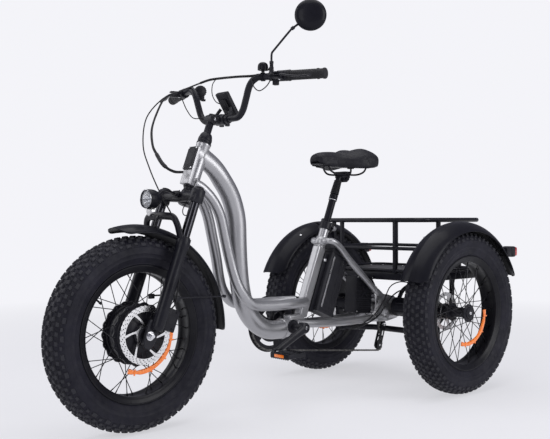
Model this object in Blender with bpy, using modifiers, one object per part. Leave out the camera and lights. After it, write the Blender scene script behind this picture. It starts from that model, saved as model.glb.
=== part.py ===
"""Electric adult tricycle with fat tyres, as an assembly of separate parts.

Frame: +X is the rider's left, the front wheel points along -Y, +Z is up, and
the ground is Z = 0.  The origin is on the ground under the middle of the
vehicle.  All lengths are in metres.
"""

import math

import bmesh
import bpy
from mathutils import Matrix, Vector

# ---------------------------------------------------------------- wheels
TYRE_R = 0.301
TYRE_HALF_W = 0.052
RIM_FLANGE_R = 0.2105
RIM_HALF_W = 0.041
RIM_BORE_R = 0.1885
SPOKE_COUNT = 36
SPOKE_R = 0.00130
FRONT_AXLE_Y = -0.628
REAR_AXLE_Y = 0.570
HALF_TRACK = 0.361
WHEEL_STEPS = 30

# ---------------------------------------------------------------- steering
HEAD_TILT = math.radians(20.8)
HEAD_BASE = Vector((0.0, -0.412, 0.752))
HEAD_LENGTH = 0.160
HEAD_R = 0.0225
LEG_X = 0.088
LEG_FORWARD = 0.028
AXLE_FORWARD = 0.0418
AXLE_DROP = -0.4983
BAR_R = 0.0111
BAR_Y = -0.281
BAR_Z = 0.984

# ---------------------------------------------------------------- seat
SEAT_TILT = math.atan(0.412)
SEAT_BASE = Vector((0.0, 0.096, 0.319))
POST_R = 0.0136

# ---------------------------------------------------------------- drive
BB_Y = 0.015
BB_Z = 0.268
CRANK_LENGTH = 0.160
CRANK_ANGLE = math.radians(26.0)
CHAINRING_R = 0.0970
CHAINRING_X = -0.0785
CRANK_X = 0.0980
COG_R = 0.0304
COG_X = -0.0300

# ---------------------------------------------------------------- cargo
BASKET_HALF_W = 0.270
BASKET_FRONT_Y = 0.4645
BASKET_REAR_Y = 0.846
BASKET_TOP_Z = 0.646
BASKET_MID_Z = 0.537
FLOOR_Z = 0.4475
FENDER_R = 0.338

STEER_AXIS = Vector((0.0, math.sin(HEAD_TILT), math.cos(HEAD_TILT)))
STEER_FRONT = Vector((0.0, -math.cos(HEAD_TILT), math.sin(HEAD_TILT)))
SEAT_AXIS = Vector((0.0, math.sin(SEAT_TILT), math.cos(SEAT_TILT)))
SEAT_FRONT = Vector((0.0, -math.cos(SEAT_TILT), math.sin(SEAT_TILT)))


# ================================================================ helpers
def clear_scene():
    for obj in list(bpy.data.objects):
        bpy.data.objects.remove(obj, do_unlink=True)


def new_collection(name):
    collection = bpy.data.collections.new(name)
    bpy.context.scene.collection.children.link(collection)
    return collection


def material(name, colour, metallic, roughness):
    mat = bpy.data.materials.new(name)
    mat.use_nodes = True
    shader = mat.node_tree.nodes["Principled BSDF"]
    shader.inputs["Base Color"].default_value = (*colour, 1.0)
    shader.inputs["Metallic"].default_value = metallic
    shader.inputs["Roughness"].default_value = roughness
    return mat


def steer_point(x, up, front):
    """A point given by its distance up the steering axis and ahead of it."""
    return HEAD_BASE + Vector((x, 0, 0)) + STEER_AXIS * up + STEER_FRONT * front


def seat_point(x, up, front):
    """A point given by its distance up the seat tube's axis and ahead of it."""
    return SEAT_BASE + Vector((x, 0, 0)) + SEAT_AXIS * up + SEAT_FRONT * front


def add_object(name, mesh, mat, collection):
    obj = bpy.data.objects.new(name, mesh)
    collection.objects.link(obj)
    if mat is not None:
        mesh.materials.append(mat)
    return obj


def smooth(mesh):
    mesh.shade_smooth()
    mesh.set_sharp_from_angle(angle=math.radians(35))


def frame_rotation(axis, hint=Vector((1, 0, 0))):
    """Rotation whose local Z is the axis and whose local X is near the hint."""
    z = axis.normalized()
    x = (hint - z * hint.dot(z)).normalized()
    y = z.cross(x)
    return Matrix((x, y, z)).transposed().to_euler()


def block(name, size, centre, rotation, mat, collection, bevel=0.0):
    mesh = bpy.data.meshes.new(name)
    bm = bmesh.new()
    bmesh.ops.create_cube(bm, size=1.0, matrix=Matrix.Diagonal((*size, 1.0)))
    bm.to_mesh(mesh)
    bm.free()
    obj = add_object(name, mesh, mat, collection)
    obj.location = centre
    obj.rotation_euler = rotation
    if bevel > 0:
        mod = obj.modifiers.new("edges", "BEVEL")
        mod.width = bevel
        mod.segments = 1
    return obj


def rod(name, start, end, radius, mat, collection, sides=14, end_radius=None):
    start = Vector(start)
    end = Vector(end)
    length = (end - start).length
    mesh = bpy.data.meshes.new(name)
    bm = bmesh.new()
    bmesh.ops.create_cone(
        bm,
        cap_ends=True,
        segments=sides,
        radius1=radius,
        radius2=radius if end_radius is None else end_radius,
        depth=length,
    )
    bm.to_mesh(mesh)
    bm.free()
    smooth(mesh)
    obj = add_object(name, mesh, mat, collection)
    obj.location = (start + end) / 2
    axis = end - start
    hint = Vector((1, 0, 0)) if abs(axis.normalized().x) < 0.9 else Vector((0, 1, 0))
    obj.rotation_euler = frame_rotation(axis, hint)
    return obj


def turned(name, profile, centre, axis, mat, collection, steps=18, closed=True):
    """A profile of (radius, height) turned about the axis.

    A closed profile makes a ring, an open one starts and ends on the axis.
    """
    mesh = bpy.data.meshes.new(name)
    verts = [(r, 0.0, h) for r, h in profile]
    edges = [(i, i + 1) for i in range(len(verts) - 1)]
    if closed:
        edges.append((len(verts) - 1, 0))
    mesh.from_pydata(verts, edges, [])
    obj = add_object(name, mesh, mat, collection)
    obj.location = centre
    hint = Vector((1, 0, 0)) if abs(axis.normalized().x) < 0.9 else Vector((0, 0, 1))
    obj.rotation_euler = frame_rotation(axis, hint)
    mod = obj.modifiers.new("turn", "SCREW")
    mod.axis = "Z"
    mod.angle = math.tau
    mod.steps = steps
    mod.render_steps = steps
    mod.use_merge_vertices = True
    mod.merge_threshold = 0.00005
    mod.use_normal_calculate = False
    return obj


def tube(name, points, radius, mat, collection, cyclic=False, resolution=2):
    """A round tube along the points, as a mesh with welded caps."""
    curve = bpy.data.curves.new(name + "_path", "CURVE")
    curve.dimensions = "3D"
    curve.bevel_depth = radius
    curve.bevel_resolution = resolution
    curve.use_fill_caps = not cyclic
    spline = curve.splines.new("POLY")
    spline.points.add(len(points) - 1)
    for target, point in zip(spline.points, points):
        target.co = (*point, 1.0)
    spline.use_cyclic_u = cyclic
    guide = bpy.data.objects.new(name + "_path", curve)
    collection.objects.link(guide)
    return meshed(guide, name, mat, collection)


def plate(name, outline, thickness, centre, normal, mat, collection, holes=(), hint=None):
    """A flat outline, with holes, extruded to the thickness."""
    curve = bpy.data.curves.new(name + "_outline", "CURVE")
    curve.dimensions = "2D"
    curve.fill_mode = "BOTH"
    curve.extrude = thickness / 2
    for loop in (outline, *holes):
        spline = curve.splines.new("POLY")
        spline.points.add(len(loop) - 1)
        for target, point in zip(spline.points, loop):
            target.co = (point[0], point[1], 0.0, 1.0)
        spline.use_cyclic_u = True
    guide = bpy.data.objects.new(name + "_outline", curve)
    collection.objects.link(guide)
    guide.location = centre
    if hint is None:
        hint = Vector((1, 0, 0)) if abs(normal.normalized().x) < 0.9 else Vector((0, 1, 0))
    guide.rotation_euler = frame_rotation(normal, hint)
    return meshed(guide, name, mat, collection)


def meshed(guide, name, mat, collection):
    """Turns a curve object into a mesh object at the same place."""
    bpy.context.view_layer.update()
    graph = bpy.context.evaluated_depsgraph_get()
    mesh = bpy.data.meshes.new_from_object(guide.evaluated_get(graph))
    bm = bmesh.new()
    bm.from_mesh(mesh)
    bmesh.ops.remove_doubles(bm, verts=bm.verts, dist=0.00001)
    bmesh.ops.recalc_face_normals(bm, faces=bm.faces)
    bm.to_mesh(mesh)
    bm.free()
    smooth(mesh)
    mesh.name = name
    obj = add_object(name, mesh, mat, collection)
    obj.matrix_world = guide.matrix_world
    bpy.data.objects.remove(guide, do_unlink=True)
    return obj


def guide_only(obj):
    """Marks an object as a Boolean operand, left out of the model."""
    obj.hide_render = True
    obj.display_type = "WIRE"
    return obj


def combine(target, operation, others):
    for other in others:
        mod = target.modifiers.new(operation.lower(), "BOOLEAN")
        mod.operation = operation
        mod.solver = "EXACT"
        mod.object = guide_only(other)
    return target


def join(target, *others):
    return combine(target, "UNION", others)


def cut(target, *others):
    return combine(target, "DIFFERENCE", others)


def smooth_route(points, per_span):
    """Points on a smooth curve through the route's own points."""
    points = [Vector(p) for p in points]
    padded = [2 * points[0] - points[1], *points, 2 * points[-1] - points[-2]]
    route = []
    for a, b, c, d in zip(padded, padded[1:], padded[2:], padded[3:]):
        for step in range(per_span):
            t = step / per_span
            route.append(
                0.5
                * (
                    2 * b
                    + (c - a) * t
                    + (2 * a - 5 * b + 4 * c - d) * t * t
                    + (3 * b - a - 3 * c + d) * t * t * t
                )
            )
    route.append(points[-1])
    return route


def circle(radius, count, centre=(0.0, 0.0)):
    return [
        (
            centre[0] + radius * math.cos(math.tau * i / count),
            centre[1] + radius * math.sin(math.tau * i / count),
        )
        for i in range(count)
    ]


def rounded_rectangle(half_x, y0, y1, corner, z, steps=3):
    """Points round a rectangle with rounded corners, lying flat at height z."""
    points = []
    corners = (
        (half_x - corner, y1 - corner, 0),
        (-half_x + corner, y1 - corner, 90),
        (-half_x + corner, y0 + corner, 180),
        (half_x - corner, y0 + corner, 270),
    )
    for cx, cy, start in corners:
        for step in range(steps + 1):
            angle = math.radians(start + 90 * step / steps)
            points.append((cx + corner * math.cos(angle), cy + corner * math.sin(angle), z))
    return points


def pivot(name, location, axis, collection):
    """An empty whose local Z lies on a joint's axis."""
    empty = bpy.data.objects.new(name, None)
    collection.objects.link(empty)
    empty.empty_display_size = 0.05
    empty.location = location
    hint = Vector((1, 0, 0)) if abs(axis.normalized().x) < 0.9 else Vector((0, 1, 0))
    empty.rotation_euler = frame_rotation(axis, hint)
    return empty


def attach(parent, *children):
    bpy.context.view_layer.update()
    for child in children:
        child.parent = parent
        child.matrix_parent_inverse = parent.matrix_world.inverted()


# ================================================================ wheels
def tyre(name, centre, mats, parts):
    half = [
        (0.2000, 0.0364),
        (0.2118, 0.0364),
        (0.2240, 0.0470),
        (0.2560, TYRE_HALF_W),
        (0.2870, 0.0440),
        (TYRE_R, 0.0160),
    ]
    profile = half + [(r, -h) for r, h in reversed(half)]
    return turned(name, profile, centre, Vector((1, 0, 0)), mats["tyre"], parts, WHEEL_STEPS)


def rim(name, centre, mats, parts):
    profile = [
        (RIM_FLANGE_R, RIM_HALF_W),
        (RIM_BORE_R, 0.0340),
        (RIM_BORE_R, -0.0340),
        (RIM_FLANGE_R, -RIM_HALF_W),
        (RIM_FLANGE_R, -0.0372),
        (0.1990, -0.0368),
        (0.1990, 0.0368),
        (RIM_FLANGE_R, 0.0372),
    ]
    profile.reverse()
    return turned(name, profile, centre, Vector((1, 0, 0)), mats["rim"], parts, WHEEL_STEPS)


def spokes(name, centre, hub_r, hub_x, wrap, guides):
    """All the spokes of one wheel, crossing in pairs from both flanges."""
    mesh = bpy.data.meshes.new(name)
    bm = bmesh.new()
    for index in range(SPOKE_COUNT):
        side = 1 if index % 2 == 0 else -1
        turn = 1 if (index // 2) % 2 == 0 else -1
        rim_angle = math.tau * index / SPOKE_COUNT
        hub_angle = rim_angle + turn * wrap
        inner = Vector(
            (
                side * hub_x + turn * 0.0030,
                hub_r * math.cos(hub_angle),
                hub_r * math.sin(hub_angle),
            )
        )
        outer = Vector(
            (
                side * 0.010 + turn * 0.0015,
                (RIM_BORE_R - 0.0022) * math.cos(rim_angle),
                (RIM_BORE_R - 0.0022) * math.sin(rim_angle),
            )
        )
        turn_to = frame_rotation(outer - inner).to_matrix().to_4x4()
        bmesh.ops.create_cone(
            bm,
            cap_ends=True,
            segments=3,
            radius1=SPOKE_R,
            radius2=SPOKE_R,
            depth=(outer - inner).length,
            matrix=Matrix.Translation((inner + outer) / 2) @ turn_to,
        )
    bm.to_mesh(mesh)
    bm.free()
    obj = add_object(name, mesh, None, guides)
    obj.location = centre
    return obj


def hub_motor(mats, parts, guides, centre):
    """Front hub motor shell with its flanges and spokes."""
    half = [
        (0.0064, 0.0568),
        (0.0310, 0.0568),
        (0.0330, 0.0460),
        (0.0985, 0.0360),
        (0.0985, 0.0250),
        (0.0900, 0.0230),
    ]
    profile = half + [(r, -h) for r, h in reversed(half)]
    hub = turned("front_hub_motor", profile, centre, Vector((1, 0, 0)), mats["black_metal"], parts, 24)
    laced = spokes("front_spokes", centre, 0.0940, 0.0300, math.radians(24), guides)
    return join(hub, laced)


def rotor_disc(mats, parts, centre):
    """Disc with six windows between its arms."""
    windows = []
    for arm in range(6):
        loop = []
        first = math.radians(60 * arm + 9)
        last = math.radians(60 * arm + 51)
        for step in range(4):
            angle = first + (last - first) * step / 3
            loop.append((0.0700 * math.cos(angle), 0.0700 * math.sin(angle)))
        for angle in (last - math.radians(12), first - math.radians(6)):
            loop.append((0.0330 * math.cos(angle), 0.0330 * math.sin(angle)))
        windows.append(loop)
    holes = [circle(0.0150, 12), *windows]
    return plate(
        "front_brake_disc",
        circle(0.0900, 30),
        0.0020,
        centre + Vector((0.0583, 0, 0)),
        Vector((1, 0, 0)),
        mats["silver"],
        parts,
        holes,
    )


def rear_hub(side, mats, parts, guides):
    """Rear hub: flanges, barrel, stub axle, brake disc and spokes in one."""
    name = "rear_hub_left" if side > 0 else "rear_hub_right"
    centre = Vector((side * HALF_TRACK, REAR_AXLE_Y, TYRE_R))
    profile = [
        (0.0000, 0.0450),
        (0.0200, 0.0450),
        (0.0330, 0.0400),
        (0.0330, 0.0290),
        (0.0220, 0.0270),
        (0.0220, -0.0270),
        (0.0340, -0.0290),
        (0.0340, -0.0400),
        (0.0240, -0.0420),
        (0.0240, -0.0640),
        (0.0720, -0.0645),
        (0.0720, -0.0665),
        (0.0240, -0.0760),
        (0.0095, -0.0770),
        (0.0095, -0.3080),
        (0.0000, -0.3080),
    ]
    hub = turned(
        name, profile, centre, Vector((side, 0, 0)), mats["black_metal"], parts, 18, closed=False
    )
    laced = spokes(name + "_spokes", centre, 0.0290, 0.0350, math.radians(64), guides)
    return join(hub, laced)


# ================================================================ fork
def fork_crown(mats, parts, guides):
    """Upper fork: steerer, crown and the two stanchions pressed into it."""
    fork = rod(
        "fork_crown", steer_point(0, -0.056, 0), steer_point(0, 0.150, 0), 0.0143,
        mats["black_metal"], parts, 16,
    )
    boss = rod("crown_boss", steer_point(0, -0.058, 0), steer_point(0, -0.012, 0), 0.0260, None, guides)
    seat = rod("crown_race", steer_point(0, -0.013, 0), steer_point(0, -0.0006, 0), 0.0215, None, guides)
    bridge = block(
        "crown_bridge", (0.176, 0.040, 0.034), steer_point(0, -0.041, 0.027),
        (-HEAD_TILT, 0, 0), None, guides, 0.006,
    )
    pieces = [boss, seat, bridge]
    for side in (1, -1):
        lobe = rod(
            "crown_lobe", steer_point(side * LEG_X, -0.062, LEG_FORWARD),
            steer_point(side * LEG_X, -0.020, LEG_FORWARD), 0.0225, None, guides,
        )
        stanchion = rod(
            "stanchion", steer_point(side * LEG_X, -0.330, LEG_FORWARD),
            steer_point(side * LEG_X, -0.030, LEG_FORWARD), 0.0150, None, guides,
        )
        pieces += [lobe, stanchion]
    join(fork, *pieces)
    bore = rod("steerer_bore", steer_point(0, 0.060, 0), steer_point(0, 0.200, 0), 0.0110, None, guides)
    return cut(fork, bore)


def fork_lowers(mats, parts, guides):
    """Lower fork legs with dropout lugs and the arch between them."""
    arch_half = [
        (LEG_X, -0.200, 0.030),
        (LEG_X - 0.001, -0.178, 0.046),
        (LEG_X - 0.010, -0.152, 0.064),
        (LEG_X - 0.030, -0.135, 0.074),
        (0.030, -0.126, 0.077),
        (0.000, -0.124, 0.077),
    ]
    route = [steer_point(*p) for p in arch_half]
    route += [steer_point(-x, up, front) for x, up, front in reversed(arch_half[:-1])]
    lowers = tube("fork_lowers", route, 0.0085, mats["black_metal"], parts)
    pieces = []
    holes = []
    for side in (1, -1):
        x = side * LEG_X
        leg = rod(
            "leg", steer_point(x, -0.474, LEG_FORWARD), steer_point(x, -0.190, LEG_FORWARD),
            0.0205, None, guides, 14,
        )
        collar = rod(
            "seal", steer_point(x, -0.200, LEG_FORWARD), steer_point(x, -0.182, LEG_FORWARD),
            0.0222, None, guides, 14,
        )
        lug = block(
            "lug", (0.012, 0.040, 0.070), steer_point(side * 0.0780, -0.487, AXLE_FORWARD - 0.006),
            (-HEAD_TILT, 0, 0), None, guides, 0.004,
        )
        pieces += [leg, collar, lug]
        holes.append(
            rod("bore", steer_point(x, -0.400, LEG_FORWARD), steer_point(x, -0.150, LEG_FORWARD),
                0.0158, None, guides, 16)
        )
    join(lowers, *pieces)
    axle = Vector((0.12, FRONT_AXLE_Y, TYRE_R))
    holes.append(rod("axle_bore", -Vector((0.24, 0, 0)) + axle, axle, 0.0063, None, guides, 16))
    return cut(lowers, *holes)


def front_axle(mats, parts, guides):
    """Axle bar through the dropouts with a nut at each end."""
    axle = rod(
        "front_axle", (-0.102, FRONT_AXLE_Y, TYRE_R), (0.102, FRONT_AXLE_Y, TYRE_R), 0.0060,
        mats["steel"], parts, 16,
    )
    nuts = []
    for side in (1, -1):
        nuts.append(
            rod("nut", (side * 0.0845, FRONT_AXLE_Y, TYRE_R), (side * 0.0945, FRONT_AXLE_Y, TYRE_R),
                0.0105, None, guides, 6)
        )
    return join(axle, *nuts)


def caliper(mats, parts, guides):
    """Front caliper, straddling the disc behind the left fork leg."""
    centre = Vector((0.0583, -0.5400, 0.3400))
    body = block("front_caliper", (0.030, 0.046, 0.074), centre, (math.radians(-22), 0, 0),
                 mats["black_metal"], parts, 0.005)
    slot = block(
        "caliper_slot", (0.0046, 0.080, 0.120), centre + Vector((0, -0.020, 0)),
        (math.radians(-22), 0, 0), None, guides,
    )
    leg = rod("leg_clear", steer_point(LEG_X, -0.50, LEG_FORWARD), steer_point(LEG_X, -0.15, LEG_FORWARD),
              0.0212, None, guides, 16)
    return cut(body, slot, leg)


def arc_strip(name, centre, first, last, steps, section, mats, parts):
    """A mudguard shell: an open section turned part of the way round the axle.

    The section is a list of (x, radius), and angles run from +Y towards +Z.
    """
    mesh = bpy.data.meshes.new(name)
    verts = []
    for x, radius in section:
        verts.append((radius * math.cos(first), radius * math.sin(first), x))
    mesh.from_pydata(verts, [(i, i + 1) for i in range(len(verts) - 1)], [])
    obj = add_object(name, mesh, mats["fender"], parts)
    obj.location = centre
    obj.rotation_euler = Matrix(((0, 0, 1), (1, 0, 0), (0, 1, 0))).to_euler()
    turn = obj.modifiers.new("turn", "SCREW")
    turn.axis = "Z"
    turn.angle = last - first
    turn.steps = steps
    turn.render_steps = steps
    sheet = obj.modifiers.new("sheet", "SOLIDIFY")
    sheet.thickness = 0.0025
    sheet.offset = 0.0
    return obj


def fender_section(half_width, radius, drop, count):
    section = []
    for i in range(count + 1):
        u = -1 + 2 * i / count
        section.append((half_width * u, radius - drop * abs(u) ** 2.4))
    return section


def front_fender(mats, parts, guides):
    centre = Vector((0, FRONT_AXLE_Y, TYRE_R))
    guard = arc_strip("front_fender", centre, math.radians(-3), math.radians(103), 13,
                      fender_section(0.0560, 0.3330, 0.020, 6), mats, parts)
    stays = []
    for side in (1, -1):
        stays.append(
            rod("fender_stay", (side * 0.0640, -0.5150, 0.4060), (side * 0.0540, -0.3180, 0.3990),
                0.0030, None, guides, 6)
        )
    return join(guard, *stays)


def rear_fender(side, mats, parts, guides):
    name = "rear_fender_left" if side > 0 else "rear_fender_right"
    centre = Vector((side * HALF_TRACK, REAR_AXLE_Y, TYRE_R))
    guard = arc_strip(name, centre, math.radians(22), math.radians(157), 16,
                      fender_section(0.0620, FENDER_R, 0.032, 6), mats, parts)
    lamp = block(
        "tail_lamp", (0.044, 0.090, 0.040), (side * 0.3780, 0.8680, 0.5200), (0, 0, 0), None, guides,
        0.006,
    )
    return join(guard, lamp)


# ================================================================ main frame
def head_tube(mats, parts, guides):
    """Head tube with flared ends and the mounting block on its front."""
    profile = [
        (0.0185, HEAD_LENGTH),
        (0.0242, HEAD_LENGTH),
        (0.0242, HEAD_LENGTH - 0.012),
        (HEAD_R, HEAD_LENGTH - 0.015),
        (HEAD_R, 0.015),
        (0.0242, 0.012),
        (0.0242, 0.0),
        (0.0185, 0.0),
    ]
    tube_body = turned("head_tube", profile, HEAD_BASE, STEER_AXIS, mats["silver_paint"], parts, 18)
    boss = block("mount_block", (0.044, 0.016, 0.131), steer_point(0, 0.070, 0.024),
                 (-HEAD_TILT, 0, 0), None, guides, 0.003)
    clear = rod("block_bore", steer_point(0, -0.02, 0), steer_point(0, 0.18, 0), 0.0186, None, guides, 18)
    return cut(join(tube_body, boss), clear)


def rack_plate(mats, parts):
    """Flat plate for a front carrier, screwed on the block."""
    return block("front_rack_plate", (0.048, 0.004, 0.080), steer_point(0, 0.0925, 0.0344),
                 (-HEAD_TILT, 0, 0), mats["black_plastic"], parts, 0.0008)


def head_clear(guides):
    return rod("head_clear", steer_point(0, -0.05, 0), steer_point(0, 0.21, 0), 0.0248, None, guides, 20)


def seat_tube_clear(guides):
    centre = seat_point(0, 0.14, 0)
    return block("seat_clear", (0.0348, 0.0408, 0.50), centre, (-SEAT_TILT, 0, 0), None, guides)


def down_tube(mats, parts, guides):
    """Thick S-shaped tube from the head tube to the bottom bracket."""
    route = smooth_route(
        [
            (0, -0.380, 0.864),
            (0, -0.321, 0.827),
            (0, -0.278, 0.779),
            (0, -0.247, 0.735),
            (0, -0.228, 0.690),
            (0, -0.217, 0.640),
            (0, -0.214, 0.560),
            (0, -0.209, 0.480),
            (0, -0.200, 0.415),
            (0, -0.183, 0.357),
            (0, -0.150, 0.308),
            (0, -0.103, 0.273),
            (0, -0.055, 0.259),
            (0, 0.010, 0.258),
        ],
        1,
    )
    body = tube("down_tube", route, 0.0332, mats["silver_paint"], parts, False, 4)
    shell = rod("shell_clear", (-0.06, BB_Y, BB_Z), (0.06, BB_Y, BB_Z), 0.0254, None, guides, 20)
    foot = block("down_foot_clear", (0.0348, 0.0788, 0.0540), (0, 0.056, 0.2785), (0, 0, 0), None, guides)
    return cut(body, head_clear(guides), shell, foot)


def side_tube(side, mats, parts, guides):
    """Slim tube beside the down tube, running back to the seat tube."""
    name = "side_tube_left" if side > 0 else "side_tube_right"
    half = [
        (0.016, -0.408, 0.767),
        (0.024, -0.378, 0.748),
        (0.030, -0.343, 0.712),
        (0.033, -0.315, 0.662),
        (0.034, -0.294, 0.585),
        (0.036, -0.276, 0.516),
        (0.043, -0.258, 0.450),
        (0.049, -0.238, 0.408),
        (0.0522, -0.205, 0.372),
        (0.0522, -0.164, 0.356),
        (0.0522, -0.085, 0.351),
        (0.0522, -0.013, 0.351),
        (0.0440, 0.040, 0.351),
        (0.0330, 0.080, 0.351),
    ]
    route = [Vector((side * x, y, z)) for x, y, z in half]
    body = tube(name, route, 0.0182, mats["silver_paint"], parts, False, 3)
    halfspace = block("far_clear", (0.2, 1.0, 1.2), (-side * 0.0998, -0.2, 0.6), (0, 0, 0), None, guides)
    return cut(body, head_clear(guides), seat_tube_clear(guides), halfspace)


def seat_tube(mats, parts, guides):
    """Flat-sided seat tube welded on the bottom bracket shell."""
    body = block("seat_tube", (0.034, 0.040, 0.270), seat_point(0, 0.112, 0), (-SEAT_TILT, 0, 0),
                 mats["silver_paint"], parts, 0.006)
    foot = block("seat_foot", (0.034, 0.078, 0.053), (0, 0.056, 0.2785), (0, 0, 0), None, guides, 0.006)
    shell = rod("shell", (-0.034, BB_Y, BB_Z), (0.034, BB_Y, BB_Z), 0.0250, None, guides, 20)
    neck = rod("neck", seat_point(0, 0.230, 0), seat_point(0, 0.341, 0), 0.0172, None, guides, 20)
    shell_bore = rod("shell_bore", (-0.05, BB_Y, BB_Z), (0.05, BB_Y, BB_Z), 0.0125, None, guides, 16)
    post_bore = rod(
        "post_bore", seat_point(0, -0.012, 0), seat_point(0, 0.36, 0), POST_R + 0.0005, None, guides,
        20,
    )
    join(body, foot, shell, neck)
    return cut(body, shell_bore, post_bore)


def seat_clamp(mats, parts, guides):
    """Clamp collar round the seat tube's neck with its quick-release lever."""
    centre = seat_point(0, 0.330, 0)
    profile = [
        (0.0176, 0.014),
        (0.0232, 0.014),
        (0.0232, -0.014),
        (0.0176, -0.014),
    ]
    collar = turned("seat_clamp", profile, centre, SEAT_AXIS, mats["black_metal"], parts, 18)
    pin = rod(
        "clamp_pin", seat_point(-0.030, 0.330, -0.027), seat_point(0.030, 0.330, -0.027), 0.0042, None,
        guides, 8,
    )
    ears = block(
        "clamp_ears", (0.024, 0.018, 0.022), seat_point(0, 0.330, -0.026), (-SEAT_TILT, 0, 0), None,
        guides, 0.002,
    )
    lever = block(
        "clamp_lever", (0.007, 0.062, 0.014), seat_point(-0.030, 0.333, -0.002), (-SEAT_TILT, 0, 0),
        None, guides, 0.003,
    )
    clear = rod("post_clear", seat_point(0, 0.30, 0), seat_point(0, 0.36, 0), 0.0176, None, guides, 18)
    return join(cut(join(collar, ears), clear), pin, lever)


def seat_stays(mats, parts, guides):
    """Collar round the seat tube's neck with two stays bent down to the dropouts."""
    half = [
        (0.000, 0.196, 0.566),
        (0.022, 0.196, 0.567),
        (0.038, 0.200, 0.569),
        (0.047, 0.215, 0.566),
        (0.050, 0.245, 0.547),
        (0.050, 0.291, 0.504),
        (0.050, 0.392, 0.4195),
        (0.050, 0.456, 0.3660),
    ]
    points = [Vector(p) for p in half]
    route = [Vector((-p.x, p.y, p.z)) for p in reversed(points[1:])] + points
    body = tube("seat_stays", route, 0.0123, mats["silver_paint"], parts, False, 3)
    collar = rod("stay_collar", seat_point(0, 0.2525, 0), seat_point(0, 0.2805, 0), 0.0225, None, guides, 20)
    join(body, collar)
    for side in (1, -1):
        plate_clear = block(
            "stay_clear", (0.0066, 0.3, 0.3), (side * 0.0500, 0.585, 0.300), (0, 0, 0), None, guides,
        )
        cut(body, plate_clear)
    neck_clear = rod("neck_clear", seat_point(0, 0.22, 0), seat_point(0, 0.36, 0), 0.0174, None, guides, 20)
    return cut(body, neck_clear)


def chain_stay(side, mats, parts, guides):
    """Lower stay with the dropout plate at its end."""
    name = "chain_stay_left" if side > 0 else "chain_stay_right"
    half = [
        (0.0290, 0.040, 0.276),
        (0.0320, 0.080, 0.272),
        (0.0400, 0.160, 0.267),
        (0.0470, 0.260, 0.264),
        (0.0500, 0.340, 0.264),
        (0.0500, 0.452, 0.266),
    ]
    route = [Vector((side * x, y, z)) for x, y, z in half]
    body = tube(name, route, 0.0115, mats["silver_paint"], parts)
    outline = [
        (0.428, 0.252),
        (0.520, 0.247),
        (0.592, 0.262),
        (0.602, 0.290),
        (0.596, 0.322),
        (0.560, 0.343),
        (0.496, 0.356),
        (0.464, 0.380),
        (0.442, 0.368),
        (0.450, 0.310),
        (0.430, 0.284),
    ]
    dropout = plate(
        name + "_dropout",
        [(y - REAR_AXLE_Y, z - TYRE_R) for y, z in outline],
        0.0060,
        Vector((side * 0.0500, REAR_AXLE_Y, TYRE_R)),
        Vector((1, 0, 0)),
        None,
        guides,
        [circle(0.0160, 20)],
        Vector((0, 1, 0)),
    )
    shell = rod("stay_shell_clear", (-0.06, BB_Y, BB_Z), (0.06, BB_Y, BB_Z), 0.0254, None, guides, 20)
    foot = block("stay_foot_clear", (0.0348, 0.0788, 0.0540), (0, 0.056, 0.2785), (0, 0, 0), None, guides)
    return cut(join(body, dropout), shell, foot, seat_tube_clear(guides))


# ================================================================ rear subframe and cargo
def rear_subframe(mats, parts, guides):
    """Axle housings, uprights and cross tubes welded together."""
    y = REAR_AXLE_Y
    z = TYRE_R
    half = [
        (0.244, y, 0.198), (0.190, y + 0.010, 0.198), (0.130, y + 0.050, 0.198),
        (0.090, y + 0.064, 0.198),
    ]
    route = [(-x, back, up) for x, back, up in half] + [(x, back, up) for x, back, up in reversed(half)]
    frame = tube("rear_subframe", route, 0.0120, mats["black_metal"], parts, False, 2)
    pieces = []
    holes = []
    for side in (1, -1):
        housing = rod("housing", (side * 0.0565, y, z), (side * 0.236, y, z), 0.0375, None, guides, 16)
        upright = block(
            "upright", (0.020, 0.044, 0.2336), (side * 0.2440, y, 0.2968), (0, 0, 0), None, guides,
            0.003,
        )
        bearing = rod("bearing", (side * 0.230, y, z), (side * 0.262, y, z), 0.0330, None, guides, 12)
        brace = tube(
            "brace",
            smooth_route(
                [
                    (side * 0.2440, y + 0.010, 0.240), (side * 0.2440, y + 0.075, 0.290),
                    (side * 0.2440, y + 0.110, 0.350), (side * 0.2440, y + 0.112, 0.4130),
                ],
                1,
            ),
            0.0100, None, guides, False, 1,
        )
        pieces += [housing, upright, bearing, brace]
        holes.append(
            rod("housing_bore", (side * 0.040, y, z), (side * 0.280, y, z), 0.0103, None, guides, 14),
        )
    join(frame, *pieces)
    return cut(frame, *holes)


def basket_base(mats, parts, guides):
    """Frame of square tubes under the floor."""
    top = FLOOR_Z - 0.0055
    height = 0.028
    z = top - height / 2
    y0 = BASKET_FRONT_Y
    y1 = BASKET_REAR_Y
    wide = 2 * BASKET_HALF_W
    base = block(
        "basket_base", (wide, 0.024, height), (0, y0 + 0.012, z), (0, 0, 0), mats["black_metal"], parts,
    )
    pieces = [
        block("base_rear", (wide, 0.024, height), (0, y1 - 0.012, z), (0, 0, 0), None, guides),
        block("base_middle", (wide, 0.024, height), (0, REAR_AXLE_Y, z), (0, 0, 0), None, guides),
    ]
    for side in (1, -1):
        pieces.append(
            block("base_side", (0.024, y1 - y0, height), (side * (BASKET_HALF_W - 0.012), (y0 + y1) / 2, z),
                  (0, 0, 0), None, guides)
        )
    return join(base, *pieces)


def basket_floor(mats, parts):
    """Flat sheet panel that carries the load."""
    return block(
        "basket_floor",
        (2 * BASKET_HALF_W - 0.030, BASKET_REAR_Y - BASKET_FRONT_Y - 0.030, 0.0048),
        (0, (BASKET_FRONT_Y + BASKET_REAR_Y) / 2, FLOOR_Z - 0.0025),
        (0, 0, 0), mats["grey_panel"], parts,
    )


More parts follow.
